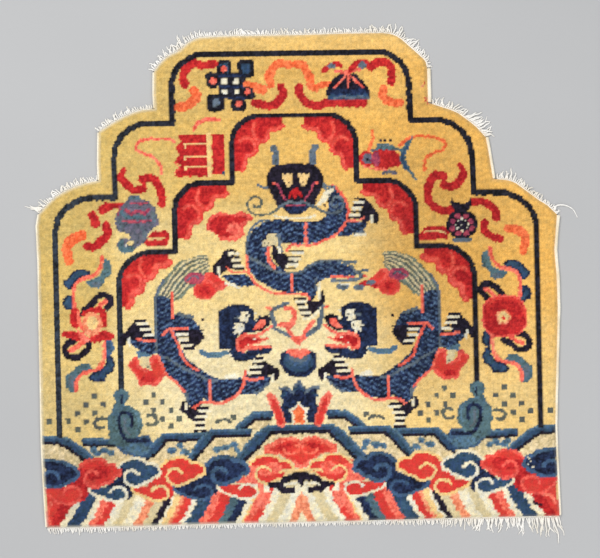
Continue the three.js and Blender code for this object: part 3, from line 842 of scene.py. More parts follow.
def draw_vase_and_fruit():
    """The vase on the left and the dark fruit on the right, with their ribbons."""
    stroke("red", (8, 12, 12, 11), (-239, 497), (-243, 487), (-234, 476), (-224, 469), (-212, 472))
    stroke("red", 12, (-213, 484), (-200, 486), (-191, 475), (-187, 462), (-188, 450))
    stroke("red", (9, 10, 14, 13), (-240, 448), (-256, 448), (-264, 446), (-271, 443))
    stroke("red", 13, (-285, 435), (-281, 424))
    stroke("red", (12, 13, 13, 11), (-267, 421), (-264, 411), (-269, 404), (-277, 399))
    stroke("red", 12, (-276, 397), (-285, 393), (-293, 394))
    stroke("orange", (14, 15, 14, 12), (-300, 409), (-313, 404), (-322, 393), (-319, 374))
    patch("smoke", (-231, 463), (-219, 463), (-215, 457), (-206, 454), (-203, 449), (-196, 445), (-196, 436),
          (-192, 430), (-192, 421), (-199, 416), (-207, 412), (-209, 403), (-216, 396), (-225, 391),
          (-229, 385), (-249, 388), (-252, 396), (-247, 403), (-240, 405), (-233, 402), (-232, 406),
          (-236, 411), (-246, 412), (-252, 416), (-254, 424), (-252, 435), (-248, 443), (-240, 452),
          (-235, 456))
    patch("gold", (-239, 396), (-232, 401), (-227, 401), (-229, 396), (-233, 393))
    squares("cream", 2.6, (-239, 394))
    stroke("teal", 5, (-230, 458), (-219, 458))
    stroke("teal", 5, (-246, 442), (-240, 434))
    stroke("teal", 4.4, (-238, 432), (-212, 431))
    stroke("slate", 6, (-248, 428), (-245, 420))
    stroke("slate", 5, (-216, 418), (-212, 406))
    stroke("slate", 5, (-200, 438), (-198, 426))
    stroke("teal", 8, (-245, 399), (-246, 391), (-238, 387), (-231, 389))
    stroke("mauve", 2.6, (-232, 451), (-222, 450), (-208, 451))
    stroke("mauve", 4.4, (-238, 441), (-230, 437), (-220, 440), (-212, 437), (-206, 443))
    stroke("mauve", 3, (-242, 427), (-222, 426), (-203, 427))
    stroke("mauve", 3, (-249, 436), (-245, 447))
    patch("red", (-200, 412), (-183, 414), (-177, 406), (-179, 395), (-184, 391), (-210, 392), (-214, 398))
    stroke("butter", 3, (-208, 402), (-184, 402.5))
    stroke("red", 12, (209, 482), (199, 485), (189, 474), (185, 460), (188, 447), (197, 438), (210, 434),
           (221, 437))
    stroke("red", (7, 12, 12, 11), (232, 498), (237, 487), (230, 476), (220, 468), (208, 471))
    stroke("red", 12, (250, 446), (262, 446), (273, 440), (280, 432), (280, 423))
    stroke("red", 11, (264, 416), (264, 404), (273, 396), (285, 391))
    stroke("orange", (12, 14, 13, 10), (296, 406), (308, 405), (320, 394), (317, 373))
    patch("red", (172, 402), (184, 413), (208, 411), (214, 406), (212, 393), (172, 392))
    stroke("butter", 3, (180, 404), (194, 405), (208, 402))
    disc("black", 232, 414, 22, 21)
    patch("black", (217, 452), (223, 446), (232, 444), (241, 446), (247, 452), (246, 440), (239, 433),
          (225, 433), (218, 440))
    for turn in np.linspace(0, 2 * np.pi, 9)[:-1]:
        disc("mauve", 232 + 14 * np.cos(turn + 0.4), 413 + 13 * np.sin(turn + 0.4), 4.2)
    disc("black", 232, 413, 11, 10.5)
    squares("cream", 2.6, (232, 413), (226, 419), (238, 419), (226, 408), (238, 408), (232, 404), (232, 422),
            (222, 413), (242, 414))
    stroke("slate", 7, (222, 391), (242, 391))


@both_sides()
def draw_leaves():
    """The leaves along the twining stem of each side border."""
    for outline in (
        ((-314, 360), (-306, 363), (-298, 363), (-290, 358), (-292, 352), (-302, 350), (-311, 345),
         (-317, 333), (-322, 334), (-328, 341), (-328, 346), (-322, 350)),
        ((-329, 320), (-322, 327), (-314, 326), (-312, 306), (-325, 306), (-330, 312)),
        ((-270, 240), (-262, 239), (-258, 229), (-260, 219), (-268, 213), (-273, 205), (-288, 203),
         (-297, 210), (-291, 217), (-280, 220), (-271, 230)),
    ):
        patch("blue", *outline, rim="navy")
    patch("teal", (-271, 378), (-263, 373), (-259, 363), (-261, 354), (-269, 348), (-273, 338), (-279, 335),
          (-290, 337), (-297, 345), (-285, 349), (-276, 353), (-272, 362))
    patch("teal", (-315, 222), (-305, 231), (-295, 231), (-290, 222), (-310, 210), (-314, 190), (-322, 191),
          (-329, 200), (-328, 212), (-320, 219))
    disc("slate", -281, 341, 7, 4)
    disc("slate", -319, 206, 5, 9)


def draw_odd_leaves():
    """The leaves that only one of the two borders has."""
    patch("band", (-270, 265), (-262, 261), (-258, 252), (-262, 242), (-270, 240))
    patch("blue", (258, 262), (266, 265), (268, 252), (267, 240), (258, 243), (255, 252), rim="navy")
    patch("blue", (318, 325), (326, 320), (326, 311), (320, 306), (314, 299), (308, 303), (307, 310),
          (314, 316), rim="navy")


@both_sides()
def draw_stems():
    """The stems between the leaves, with a pale line along them."""
    stroke("coral", 5.2, (-273, 379), (-275, 368), (-279, 358), (-288, 352), (-299, 349), (-309, 344),
           (-313, 336), (-314, 324), (-312, 308))
    stroke("coral", 5.2, (-272, 258), (-273, 245), (-275, 232), (-282, 222), (-294, 219), (-305, 215),
           (-312, 206), (-313, 193))
    stroke("salmon", 2.4, (-271, 372), (-274, 362), (-280, 356))
    stroke("salmon", 2.4, (-274, 250), (-276, 234), (-284, 223))


def draw_left_flower():
    """The left flower, which opens, and its two dark buds."""
    stroke("black", 9, (-301, 299), (-300, 304), (-289, 313), (-280, 323), (-271, 326), (-263, 321),
           (-262, 313), (-268, 307))
    stroke("coral", 7, (-284, 305), (-276, 311), (-270, 317))
    stroke("black", 9, (-315, 262), (-323, 259), (-328, 251), (-326, 243), (-318, 239), (-308, 240),
           (-300, 246), (-294, 254), (-298, 261))
    stroke("coral", 8, (-319, 249), (-310, 254), (-302, 262))
    stroke("red", 11, (-312, 303), (-314, 294), (-313, 285))
    stroke("red", (8, 12, 12), (-328, 272), (-316, 270), (-304, 268))
    stroke("red", (13, 15, 8), (-286, 265), (-272, 268), (-261, 267))
    stroke("red", 10, (-298, 299), (-286, 304), (-275, 303), (-272, 292), (-273, 284))
    stroke("coral", 5, (-308, 302), (-306, 286), (-301, 276))
    patch("coral", (-312, 280), (-300, 272), (-290, 262), (-304, 258))
    disc("salmon", -289, 285, 14, 17)
    disc("butter", -288, 287, 8, 10)


def draw_right_flower():
    """The right flower, seen full on, and its two dark buds."""
    stroke("black", 9, (286, 315), (278, 324), (268, 329), (259, 327), (257, 320), (262, 312), (267, 307))
    stroke("coral", 6, (262, 322), (269, 318), (276, 311))
    stroke("black", 9, (287, 250), (296, 246), (304, 238), (314, 236), (322, 241), (322, 250), (315, 257),
           (309, 258))
    stroke("coral", 6, (296, 254), (314, 244))
    petals = ((260, 300), (272, 311), (290, 313), (306, 311), (318, 298), (321, 283), (318, 268), (308, 257),
              (290, 254), (272, 255), (261, 265), (257, 282))
    patch("red", *petals, soft=True, rim="rose", rim_width=2.6)
    stroke("scarlet", 3.4, (265, 298), (275, 306), (290, 309), (304, 306), (313, 296), (317, 282))
    disc("salmon", 287, 282, 10.5, 10)
    disc("butter", 287, 282, 7.6, 7.4)
    disc("scarlet", 287, 281, 2.8)


def draw_stains():
    """Small marks of wear: rust spots by the right upper step, and a dark speck in the right foot corner."""
    squares("scarlet", 3.4, (186, 614), (187, 594), (191, 586), (188, 590))
    squares("salmon", 3.4, (184, 610), (190, 593))
    stroke("plum", (5, 4, 5), (324, 21.5), (329, 19), (335, 18.5))
    line("cream", 1.6, (316, 86), (322, 78))
    line("cream", 1.6, (317, 75), (325, 71))


# The whole chart

def draw_chart():
    """All motifs, from the ground to what lies over the rest."""
    draw_stripes()
    draw_waves()
    draw_sea_clouds()
    draw_middle_clouds()
    draw_spandrels()
    draw_frames()
    draw_shore()
    draw_field_clouds()
    draw_blossoms()
    draw_pearl()
    draw_rock()
    draw_lower_dragons()
    draw_hair_fans()
    draw_lower_limbs()
    draw_lower_heads()
    draw_upper_dragon()
    draw_upper_head()
    draw_endless_knot()
    draw_top_ribbons()
    draw_scroll_and_fish()
    draw_vase_and_fruit()
    draw_leaves()
    draw_odd_leaves()
    draw_stems()
    draw_left_flower()
    draw_right_flower()
    draw_stains()


draw_chart()


# Dyes of the knots, uneven from knot to knot and from row to row

def linear(colour):
    """A screen colour of 0 to 255 as the light that it reflects."""
    c = np.asarray(colour, dtype=float) / 255
    return np.where(c <= 0.04045, c / 12.92, ((c + 0.055) / 1.055)**2.4)


def ramp(value, low, high):
    """From 0 at low to 1 at high, soft at both ends."""
    t = np.clip((value - low) / (high - low), 0, 1)
    return t * t * (3 - 2 * t)


def row_drift(seed, reach):
    """A smooth random drift from row to row of the chart."""
    count = len(cell_y)
    steps = np.random.default_rng(seed).normal(0, 1, count + 2 * reach)
    window = np.hanning(2 * reach + 1)
    drift = np.convolve(steps, window / window.sum(), mode="valid")[:count]
    return drift / np.abs(drift).max()


def by_knot(values):
    """A value for each knot, given to all its cells."""
    return values.repeat(2, axis=0).repeat(2, axis=1)


def clouding(seed, reach):
    """Smooth random patches over the chart, from 0 to 1."""
    field = np.random.default_rng(seed).random((chart.shape[0] + 2 * reach, chart.shape[1] + 2 * reach))
    window = np.hanning(2 * reach + 1)
    for _ in range(2):
        field = np.array([np.convolve(row, window, mode="valid") for row in field]).T
    return (field - field.min()) / (field.max() - field.min())


def ground_dyes():
    """The gold ground: warm on the right, greener on the left, paler in the field and towards the foot."""
    warm = linear((238, 186, 98))
    green = linear((212, 182, 108))
    pale = linear((240, 214, 148))
    milky = linear((240, 224, 178))
    to_right = ramp(CX, -330, 230)[..., None]
    base = green * (1 - to_right) + warm * to_right
    field = ramp(CY, 490, 390) * ramp(CX, 170, 50) * ramp(CX, -290, -230) + 0.8 * ramp(CY, 350, 140)
    field = field + 0.4 * ramp(CY, 630, 680)
    base = base + (pale - base) * np.clip(field, 0, 1)[..., None] * 0.85
    low = ramp(CY, 340, 215) * ramp(np.abs(CX + 60), 220, 80)
    return base + (milky - base) * low[..., None]


def painted_shade_patches():
    """Painted shade: how much darker each cell is, right of the field and in the left corner of the foot."""
    patches = ((190, 370, 150, 280, 0.2), (-330, 110, 170, 150, 0.12))
    return sum(depth * ramp(np.hypot((CX - x) / wide, (CY - y) / tall), 1, 0.35)
               for x, y, wide, tall, depth in patches)


# Dyes whose knots differ the most from one to the next
DARK_DYES = ("black", "line", "navy", "scale", "blue", "band", "wave", "slate", "teal", "smoke", "sage")
# The scales of the dragons: the height of a row, the width of a scale, and the shade that glints on them
SCALE_ROW = 7
SCALE_WIDTH = 9.5
GLINT = (82, 106, 134)
# What the dark lines fade to on the left
FADED_LINE = (82, 98, 108)


def knot_dyes():
    """The colour of each cell, as rows by columns by red, green and blue."""
    main, drifted = (linear([PALETTE[name][k] for name in INKS])[chart] for k in (0, 1))
    ground = chart == INKS.index("gold")
    main = np.where(ground[..., None], ground_dyes(), main)
    drifted = np.where(ground[..., None], main * (0.90, 0.84, 0.80), drifted)
    knot_fleck = by_knot(random.random((ROWS, COLUMNS)))
    fine_fleck = random.random(chart.shape)
    streaks = random.random((chart.shape[0], COLUMNS // 2)).repeat(4, axis=1)
    patches = 0.6 * clouding(21, 4) + 0.4 * clouding(22, 9)
    drift = ramp(patches + 0.8 * (0.5 * knot_fleck + 0.5 * fine_fleck) - 0.4, 0.25, 0.75)
    dyes = main + (drifted - main) * np.where(ground, 0.45, 0.8)[..., None] * drift[..., None]
    scales = chart == INKS.index("scale")
    sway = 0.8 * np.sin(2 * np.pi * CX / SCALE_WIDTH)
    scale_rows = np.sin(2 * np.pi * (CY + 0.5 * np.abs(CX - AXIS)) / SCALE_ROW + sway)
    glint = (scales * ramp(scale_rows + 1.1 * (knot_fleck - 0.5), 0.0, 0.8))[..., None]
    dyes = dyes + (linear(GLINT) - dyes) * glint * (0.45 + 0.5 * fine_fleck[..., None])
    dark = np.isin(chart, [INKS.index(name) for name in DARK_DYES])
    fleck = 0.55 * knot_fleck + 0.45 * fine_fleck
    mottle = np.where(dark, 0.8, np.where(ground, 0.26, 0.32))
    tone = 1 + mottle * (fleck - 0.5) * 2 + 0.14 * (streaks - 0.5) + 0.05 * row_drift(3, 6)[:, None]
    # Painted shade darkens the knots right of the field and in the left corner of the foot, on top of their
    # own mottle.
    dyes = dyes * (tone * (1 - painted_shade_patches()))[..., None]
    faded = (chart == INKS.index("line")) * ramp(CX, -120, -320) * fleck
    dyes = dyes + (linear(FADED_LINE) - dyes) * (0.4 * faded)[..., None]
    warmth = 0.05 * (by_knot(random.random((ROWS, COLUMNS))) - 0.5) + 0.03 * row_drift(8, 9)[:, None]
    dyes[..., 2] *= 1 - 2.5 * warmth
    dyes[..., 0] *= 1 + warmth
    return np.clip(dyes, 0.002, 1)


# Knotted cloth

# Where the cloth's middle lies, how far its top leans left of that, and how steeply its border drops there
CLOTH_AXIS = -1.5
TOP_LEAN = 3
TOP_DROP = 0.009


def warp_to_cloth(x, y):
    """Where a place on the chart lies in the cloth, whose top leans left and drops to the right."""
    drift = CLOTH_AXIS - TOP_LEAN * ramp(y, 420, 600) * ramp(np.abs(x), 80, 170) - AXIS
    tilt = TOP_DROP * ramp(y, 385, 460)
    return x + drift, y - tilt * (x - AXIS)


def edge_distance(x, y):
    """How far inside the cloth's edge each place is, and the nearest place on that edge."""
    step = np.roll(EDGE, -1, axis=0) - EDGE
    best = np.full(x.shape, np.inf)
    foot_x, foot_y = np.zeros(x.shape), np.zeros(x.shape)
    odd = np.zeros(x.shape, dtype=bool)
    for (x0, y0), (dx, dy) in zip(EDGE, step):
        t = np.clip(((x - x0) * dx + (y - y0) * dy) / (dx * dx + dy * dy), 0, 1)
        px, py = x0 + t * dx, y0 + t * dy
        far = np.hypot(x - px, y - py)
        closer = far < best
        best = np.where(closer, far, best)
        foot_x = np.where(closer, px, foot_x)
        foot_y = np.where(closer, py, foot_y)
        if dy:
            odd ^= ((y0 > y) != (y0 + dy > y)) & (x < dx * (y - y0) / dy + x0)
    return np.where(odd, best, -best), foot_x, foot_y


def make_object(name, points, faces):
    """A mesh object in the frame from points in mm in the drawing and a list of face arrays."""
    mesh = bpy.data.meshes.new(name)
    sizes = np.concatenate([np.full(len(f), len(f[0]), dtype=np.int32) for f in faces])
    corners = np.concatenate([np.asarray(f, dtype=np.int32).ravel() for f in faces])
    mesh.vertices.add(len(points))
    mesh.vertices.foreach_set("co", ((np.asarray(points) + SHIFT) * MM).astype(np.float32).ravel())
    mesh.loops.add(len(corners))
    mesh.loops.foreach_set("vertex_index", corners)
    mesh.polygons.add(len(sizes))
    mesh.polygons.foreach_set("loop_start", (np.cumsum(sizes) - sizes).astype(np.int32))
    mesh.polygons.foreach_set("use_smooth", np.ones(len(sizes), dtype=bool))
    mesh.update(calc_edges=True)
    mesh.validate()
    obj = bpy.data.objects.new(name, mesh)
    bpy.context.scene.collection.objects.link(obj)
    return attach(obj, "root")


def rim_loops(quads):
    """The closed rims of a patch of quads, as arrays of vertices in the quads' own order of turn."""
    edges = np.concatenate([quads[:, [k, (k + 1) % 4]] for k in range(4)])
    keys = edges.min(axis=1).astype(np.int64) * (quads.max() + 1) + edges.max(axis=1)
    _, place, count = np.unique(keys, return_index=True, return_counts=True)
    onward = {}
    for a, b in edges[place[count == 1]]:
        onward.setdefault(a, []).append(b)
    loops = []
    while onward:
        start = next(iter(onward))
        loop = [start]
        while True:
            nexts = onward[loop[-1]]
            after = nexts.pop()
            if not nexts:
                del onward[loop[-1]]
            if after == start:
                break
            loop.append(after)
        loops.append(np.array(loop))
    return loops


def cloth_patch(across, along, rows):
    """Lattice points of the chart, so many to a knot: their places, how far inside the cloth's edge they are
    and where on it they are nearest to, and the quads between them that lie in the cloth."""
    i = np.arange(COLUMNS * across + 1)
    j = np.arange(rows[0] * along, rows[1] * along + 1)
    u, v = np.meshgrid(CHART_LEFT + PITCH * i / across, CHART_BOTTOM + PITCH * j / along)
    x, y = warp_to_cloth(u, v)
    far, foot_x, foot_y = edge_distance(x, y)
    grid = np.arange(x.size).reshape(x.shape)
    quads = np.stack([grid[:-1, :-1], grid[:-1, 1:], grid[1:, 1:], grid[1:, :-1]], axis=-1).reshape(-1, 4)
    quads = quads[far.ravel()[quads].mean(axis=1) > 0]
    return i, j, x, y, far, foot_x, foot_y, quads


def move_rim(points, rim, foot_x, foot_y, height):
    """Takes the rim's points to the nearest places on the cloth's edge."""
    points[rim, 0] = foot_x.ravel()[rim]
    points[rim, 1] = foot_y.ravel()[rim]
    points[rim, 2] = height


def close_under(quads, points, height):
    """A wall from the rim of the quads down or up to a level cap, with their faces and new points."""
    walls, caps, made = [], [], []
    count = len(points)
    for loop in rim_loops(quads):
        low = count + np.arange(len(loop))
        count += len(loop)
        under = points[loop].copy()
        under[:, 2] = height
        made.append(under)
        walls.append(np.stack([loop, low, np.roll(low, -1), np.roll(loop, -1)], axis=1))
        caps.append(low[::-1][None, :])
    return walls, caps, made


def pack_used(quads, *layers):
    """The quads numbered anew, and of each layer of points only those that they use."""
    used, number = np.unique(quads, return_inverse=True)
    return number.reshape(quads.shape), *(layer[used] for layer in layers)


def set_colours(obj, colours):
    """The colour of each vertex, as the wool's material reads it."""
    layer = obj.data.color_attributes.new("dye", "FLOAT_COLOR", "POINT")
    full = np.ones((len(colours), 4), dtype=np.float32)
    full[:, :3] = colours
    layer.data.foreach_set("color", full.ravel())


def cells_beside(index, to_knot, count):
    """The cells just before and just after lattice lines, of which there are so many to a knot."""
    place = 2 * index / to_knot
    before = np.ceil(place).astype(int) - 1
    after = np.floor(place).astype(int)
    return np.clip(before, 0, count - 1), np.clip(after, 0, count - 1)


def knot_colours(dyes, i, j, across, along):
    """Colours at lattice points: a point between two cells takes both."""
    low_i, high_i = cells_beside(i, across, dyes.shape[1])
    low_j, high_j = cells_beside(j, along, dyes.shape[0])
    rows_low, rows_high = dyes[low_j], dyes[high_j]
    return (rows_low[:, low_i] + rows_low[:, high_i] + rows_high[:, low_i] + rows_high[:, high_i]) / 4


# The margin round the bake map, and the size that it gives to faces that nobody sees
MAP_MARGIN = 0.01
HIDDEN_SHARE = 0.004


def set_bake_map(obj, halves):
    """A flat map of the face as seen from above: in one square, or as two halves one over the other."""
    mesh = obj.data
    corners = np.empty(len(mesh.loops), dtype=np.int32)
    mesh.loops.foreach_get("vertex_index", corners)
    points = np.empty(len(mesh.vertices) * 3, dtype=np.float32)
    mesh.vertices.foreach_get("co", points)
    flat = points.reshape(-1, 3)[:, :2]
    share = (flat - flat.min(axis=0)) / (flat.max(axis=0) - flat.min(axis=0))
    starts = np.empty(len(mesh.polygons), dtype=np.int32)
    sizes = np.empty(len(mesh.polygons), dtype=np.int32)
    mesh.polygons.foreach_get("loop_start", starts)
    mesh.polygons.foreach_get("loop_total", sizes)
    uv = share[corners].astype(np.float64)
    if halves:
        middle = np.add.reduceat(uv[:, 0], starts) / sizes
        right = np.repeat(middle > 0.5, sizes)
        uv[:, 0] = (uv[:, 0] - 0.5 * right) * 2 * (1 - MAP_MARGIN) + MAP_MARGIN
        uv[:, 1] = (uv[:, 1] * (1 - 2 * MAP_MARGIN) + MAP_MARGIN + right) / 2
    else:
        uv = uv * (1 - 2 * MAP_MARGIN) + MAP_MARGIN
    hidden = np.repeat(sizes > 4, sizes)
    uv[hidden] *= HIDDEN_SHARE
    layer = mesh.uv_layers.new(name="OFBake")
    layer.data.foreach_set("uv", np.clip(uv, 0, 1).astype(np.float32).ravel())


def cloth_object(name, points, quads, colours, wall_colour, halves):
    """A face of the cloth with a wall round it and a level cap behind, with its dyes and its bake map."""
    walls, caps, made = close_under(quads, points, FOUNDATION)
    obj = make_object(name, np.concatenate([points, *made]), [quads, *walls, *caps])
    set_colours(obj, np.concatenate([colours, *(np.tile(wall_colour, (len(m), 1)) for m in made)]))
    set_bake_map(obj, halves)
    return obj


# The tufts: lattice steps to a knot, how far the places between knots lie below them, how much higher and
# lower single knots stand, how far all lean towards the foot, and how far single ones lean at random
PILE_CELLS = 3
DOME = 0.9
UNEVEN = 0.18
LEAN = 0.25
STRAY_LEAN = (0.35, 0.3)
# How far in from the edge the pile is paled towards cream: wear, and painted light that offsets the shade on
# its rounded rim
WORN_LIT_EDGE = 5


def make_pile(name, rows, dyes):
    """A band of the pile: each knot is a small tuft that is higher in its middle than at its sides."""
    i, j, x, y, far, foot_x, foot_y, quads = cloth_patch(PILE_CELLS, PILE_CELLS, rows)
    between = (i % PILE_CELLS == 0)[None, :] | (j % PILE_CELLS == 0)[:, None]
    knot_i = np.clip(i // PILE_CELLS, 0, COLUMNS - 1)
    knot_j = np.clip(j // PILE_CELLS, 0, ROWS - 1)
    rise = np.sin(np.clip(far / RIM_ROUND, 0, 1) * np.pi / 2)
    height = PILE_FOOT + (PILE_TOP - PILE_FOOT) * rise
    height = height + rise * np.where(between, -DOME, UNEVEN * knot_heights[knot_j][:, knot_i])
    leaning = rise * ~between
    x = x + leaning * STRAY_LEAN[0] * lean_x[knot_j][:, knot_i]
    y = y - leaning * (LEAN + STRAY_LEAN[1] * lean_y[knot_j][:, knot_i])
    points = np.stack([x, y, height], axis=-1).reshape(-1, 3)
    # Wear and painted light: the pile is painted paler near its edge, most on the left, which lifts the
    # shade on its rounded rim
    worn_and_lit = (ramp(far, WORN_LIT_EDGE, 0) * (0.1 + 0.4 * ramp(x, 120, -120)))[..., None]
    colours = knot_colours(dyes, i, j, PILE_CELLS, PILE_CELLS)
    colours = (colours + (linear(PALETTE["cream"][0]) - colours) * worn_and_lit).reshape(-1, 3)
    rim = np.unique(np.concatenate(rim_loops(quads)))
    move_rim(points, rim[far.ravel()[rim] < PITCH], foot_x, foot_y, PILE_FOOT)
    slope_y, slope_x = np.gradient(height, PITCH / PILE_CELLS)
    slope_y[[0, -1]] = 0
    facing = np.stack([-slope_x, -slope_y, np.ones(x.shape)], axis=-1).reshape(-1, 3)
    quads, points, colours, facing = pack_used(quads, points, colours, facing)
    obj = cloth_object(name, points, quads, colours, linear(PALETTE["straw"][0]), halves=True)
    # The same normals on both sides of a seam between two bands, so that no line shows there
    normals = np.zeros((len(obj.data.vertices), 3), dtype=np.float32)
    normals[:len(facing)] = facing / np.linalg.norm(facing, axis=1)[:, None]
    obj.data.normals_split_custom_set_from_vertices(normals)
    return obj


# The back: lattice steps to a knot along the warps, how deep the wefts lie between the ridges, how much
# single ridges differ, how high the rim is turned up, and the dye of the bare cotton
BACK_ALONG = 2
WEFT_DEPTH = 0.45
UNEVEN_BACK = 0.08
BACK_RIM = 0.3
COTTON = (214, 200, 168)


def make_foundation(dyes):
    """The cotton foundation. Its back shows each knot as a small ridge between wefts."""
    i, j, x, y, far, foot_x, foot_y, quads = cloth_patch(1, BACK_ALONG, (0, ROWS))
    weft = (j % BACK_ALONG == 0)[:, None]
    knot_i = np.clip(i, 0, COLUMNS - 1)
    knot_j = np.clip(j // BACK_ALONG, 0, ROWS - 1)
    depth = WEFT_DEPTH * weft + UNEVEN_BACK * (1 + knot_heights[knot_j][:, knot_i])
    points = np.stack([x, y, depth], axis=-1).reshape(-1, 3)
    cotton = linear(COTTON)
    faded = dyes * 0.72 + cotton * 0.2
    colours = knot_colours(faded, i, j, 1, BACK_ALONG)
    colours = np.where(weft[..., None], colours * 0.55 + cotton * 0.35, colours).reshape(-1, 3)
    rim = np.unique(np.concatenate(rim_loops(quads)))
    move_rim(points, rim, foot_x, foot_y, BACK_RIM)
    quads, points, colours = pack_used(quads[:, ::-1], points, colours)
    return cloth_object("foundation", points, quads, colours, cotton * 0.8, halves=False)


# Trims along the edge

TRIMS = [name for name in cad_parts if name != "rug_body"]
# How far a trim stands off the cloth's edge in the CAD, and how far the scene's one reaches under the pile
EDGE_GAP = 0.3
TUCK = 0.5
# How high the trims lie above the floor, and the usual length that they stop short of the ends of their run
LIFT = 0.1
END_TRIM = 0.5
CORD_HEIGHT = 4.4
WRAP_PITCH = 3.0
WRAP_STEPS = 4
CORD_AROUND = 10
WEB_WIDTH = 2.1
WEB_HEIGHT = 2.2
WEB_PITCH = 0.67
WEB_AROUND = 8


def trim_runs():
    """The stretch of the cloth's edge that each trim follows, which is nearer to it than to other trims."""
    reach = []
    for name in TRIMS:
        points = node_points(name)[:, :2]
        reach.append([np.hypot(*(points - place).T).min() for place in EDGE])
    reach = np.array(reach)
    owner = np.argmin(reach + np.roll(reach, -1, axis=1), axis=0)
    runs = {}
    for number, name in enumerate(TRIMS):
        mine = owner == number
        first = np.flatnonzero(mine & ~np.roll(mine, 1))[0]
        order = (first + np.arange(mine.sum() + 1)) % len(EDGE)
        runs[name] = EDGE[order]
    return runs


def place_along(run, spacing, trims):
    """Even places along a run: their points, outward directions and distances from its start."""
    step = np.diff(run, axis=0)
    length = np.concatenate([[0], np.cumsum(np.hypot(*step.T))])
    count = max(2, round((length[-1] - sum(trims)) / spacing) + 1)
    at = np.linspace(trims[0], length[-1] - trims[1], count)
    points = np.stack([np.interp(at, length, run[:, k]) for k in range(2)], axis=1)
    near_at = np.clip(np.stack([at - PITCH, at + PITCH]), 0, length[-1])
    ends = np.stack([np.interp(near_at, length, run[:, k]) for k in range(2)], axis=-1)
    along = ends[1] - ends[0]
    along /= np.hypot(*along.T)[:, None]
    return points, np.stack([along[:, 1], -along[:, 0]], axis=1), at


def tube_faces(rings, around, start=0):
    """Quads of a tube and the two end faces, for points in rings."""
    grid = start + np.arange(rings * around).reshape(rings, around)
    after = np.roll(grid, -1, axis=1)
    quads = np.stack([grid[:-1], after[:-1], after[1:], grid[1:]], axis=-1).reshape(-1, 4)
    ends = np.stack([grid[0, ::-1], grid[-1]])
    return quads, ends


def trim_rings(points, out, width, height, across, up):
    """Rings of a trim along its run: across and up go from -1 to 1 round each ring."""
    reach = (width + EDGE_GAP + TUCK) / 2 * (1 + across) - TUCK
    level = height / 2 * (1 + up) + LIFT
    x = points[:, :1] + out[:, :1] * reach
    y = points[:, 1:] + out[:, 1:] * reach
    return np.stack([x, y, level], axis=-1)


def yarn_rings(centre, side, radius, around):
    """Rings of a yarn: its centre points, the level direction across it, and its radius at each."""
    turn = 2 * np.pi * np.arange(around) / around
    across = radius[..., None] * np.cos(turn)
    x = centre[..., 0:1] + side[..., 0:1] * across
    y = centre[..., 1:2] + side[..., 1:2] * across
    return np.stack([x, y, centre[..., 2:3] + radius[..., None] * np.sin(turn)], axis=-1)


def cord_width(name):
    """A cord's width at the start and the end of its run, from its solid: how far it stands off the edge."""
    run = runs[name]
    points = node_points(name)[:, :2]
    widths = []
    for end in (run[0], run[-1]):
        close = points[np.hypot(*(points - end).T) < 2 * PITCH]
        spread = np.abs(close[:, 0] - end[0]).max()
        widths.append(spread - EDGE_GAP)
    return widths


def make_cord(name):
    """An overcast side: cotton wrapped round the outer warps, with a ridge for each wrap."""
    run = runs[name]
    points, out, at = place_along(run, WRAP_PITCH / WRAP_STEPS, (END_TRIM, END_TRIM))
    share = (at - at[0]) / (at[-1] - at[0])
    first, last = cord_width(name)
    width = (first + (last - first) * share) * (1 + 0.05 * np.sin(at / 23) + 0.03 * np.sin(at / 7.3))
    angle = 2 * np.pi * (np.arange(CORD_AROUND) + 0.5) / CORD_AROUND
    wrap = 2 * np.pi * (at[:, None] / WRAP_PITCH + 0.16 * np.sin(angle)[None, :])
    swell = 1 + 0.09 * (np.abs(np.sin(wrap / 2)) - 0.7)
    taper = np.clip(np.minimum(at - at[0], at[-1] - at) / 1.5 + 0.45, 0.45, 1)[:, None]
    across = np.cos(angle)[None, :] * swell * taper
    up = np.sin(angle)[None, :] * swell * taper
    rings = trim_rings(points, out, width[:, None], CORD_HEIGHT, across, up)
    faces = tube_faces(len(points), CORD_AROUND)
    return make_object(name.replace("cord", "overcast"), rings.reshape(-1, 3), faces)


# Warp ends along each web: the share of the web's length, how far they reach there, in mm, how many degrees
# they lean from the edge's outward side towards the web's far end, and how much they curl
WARP_ENDS = {
    "fringe_foot": (
        (0, 6, 8, 0.08), (0.13, 6.5, 5, 0.12), (0.15, 4.5, 0, 0.12), (0.6, 4, 0, 0.12), (0.76, 7, 4, 0.12),
        (0.82, 12, -2, 0.1), (0.9, 17, 3, 0.1), (0.96, 22, 6, 0.06), (1, 22, 12, 0.04),
    ),
    "fringe_right_low": (
        (0, 6, -20, 0.3), (0.3, 6, 10, 0.3), (0.6, 7, 0, 0.4), (0.8, 10, -12, 0.3), (1, 5, 0, 0.2),
    ),
    "fringe_right_mid": (
        (0, 9, -25, 0.3), (0.18, 17, -30, 0.15), (0.36, 22, -38, 0.1), (0.5, 11, -20, 0.25),
        (0.7, 8, -10, 0.3), (1, 7, -10, 0.3),
    ),
    "fringe_top": (
        (0, 4, -10, 0.2), (0.1, 11, -8, 0.35), (0.2, 10, 8, 0.35), (0.26, 6, 0, 0.3), (0.5, 6, 10, 0.2),
        (0.66, 7, 20, 0.2), (0.78, 5, 10, 0.2), (0.88, 11, -5, 0.25), (0.95, 8, 0, 0.3), (1, 9, 0, 0.2),
    ),
    "fringe_left_mid": ((0, 4, 0, 0.2), (0.45, 7, 12, 0.4), (0.6, 8, 20, 0.4), (1, 5, 10, 0.2)),
    "fringe_left_low": (
        (0, 5, 0, 0.2), (0.4, 7, 14, 0.3), (0.8, 8, 10, 0.3), (0.93, 16, 10, 0.25), (1, 20, 12, 0.2),
    ),
}
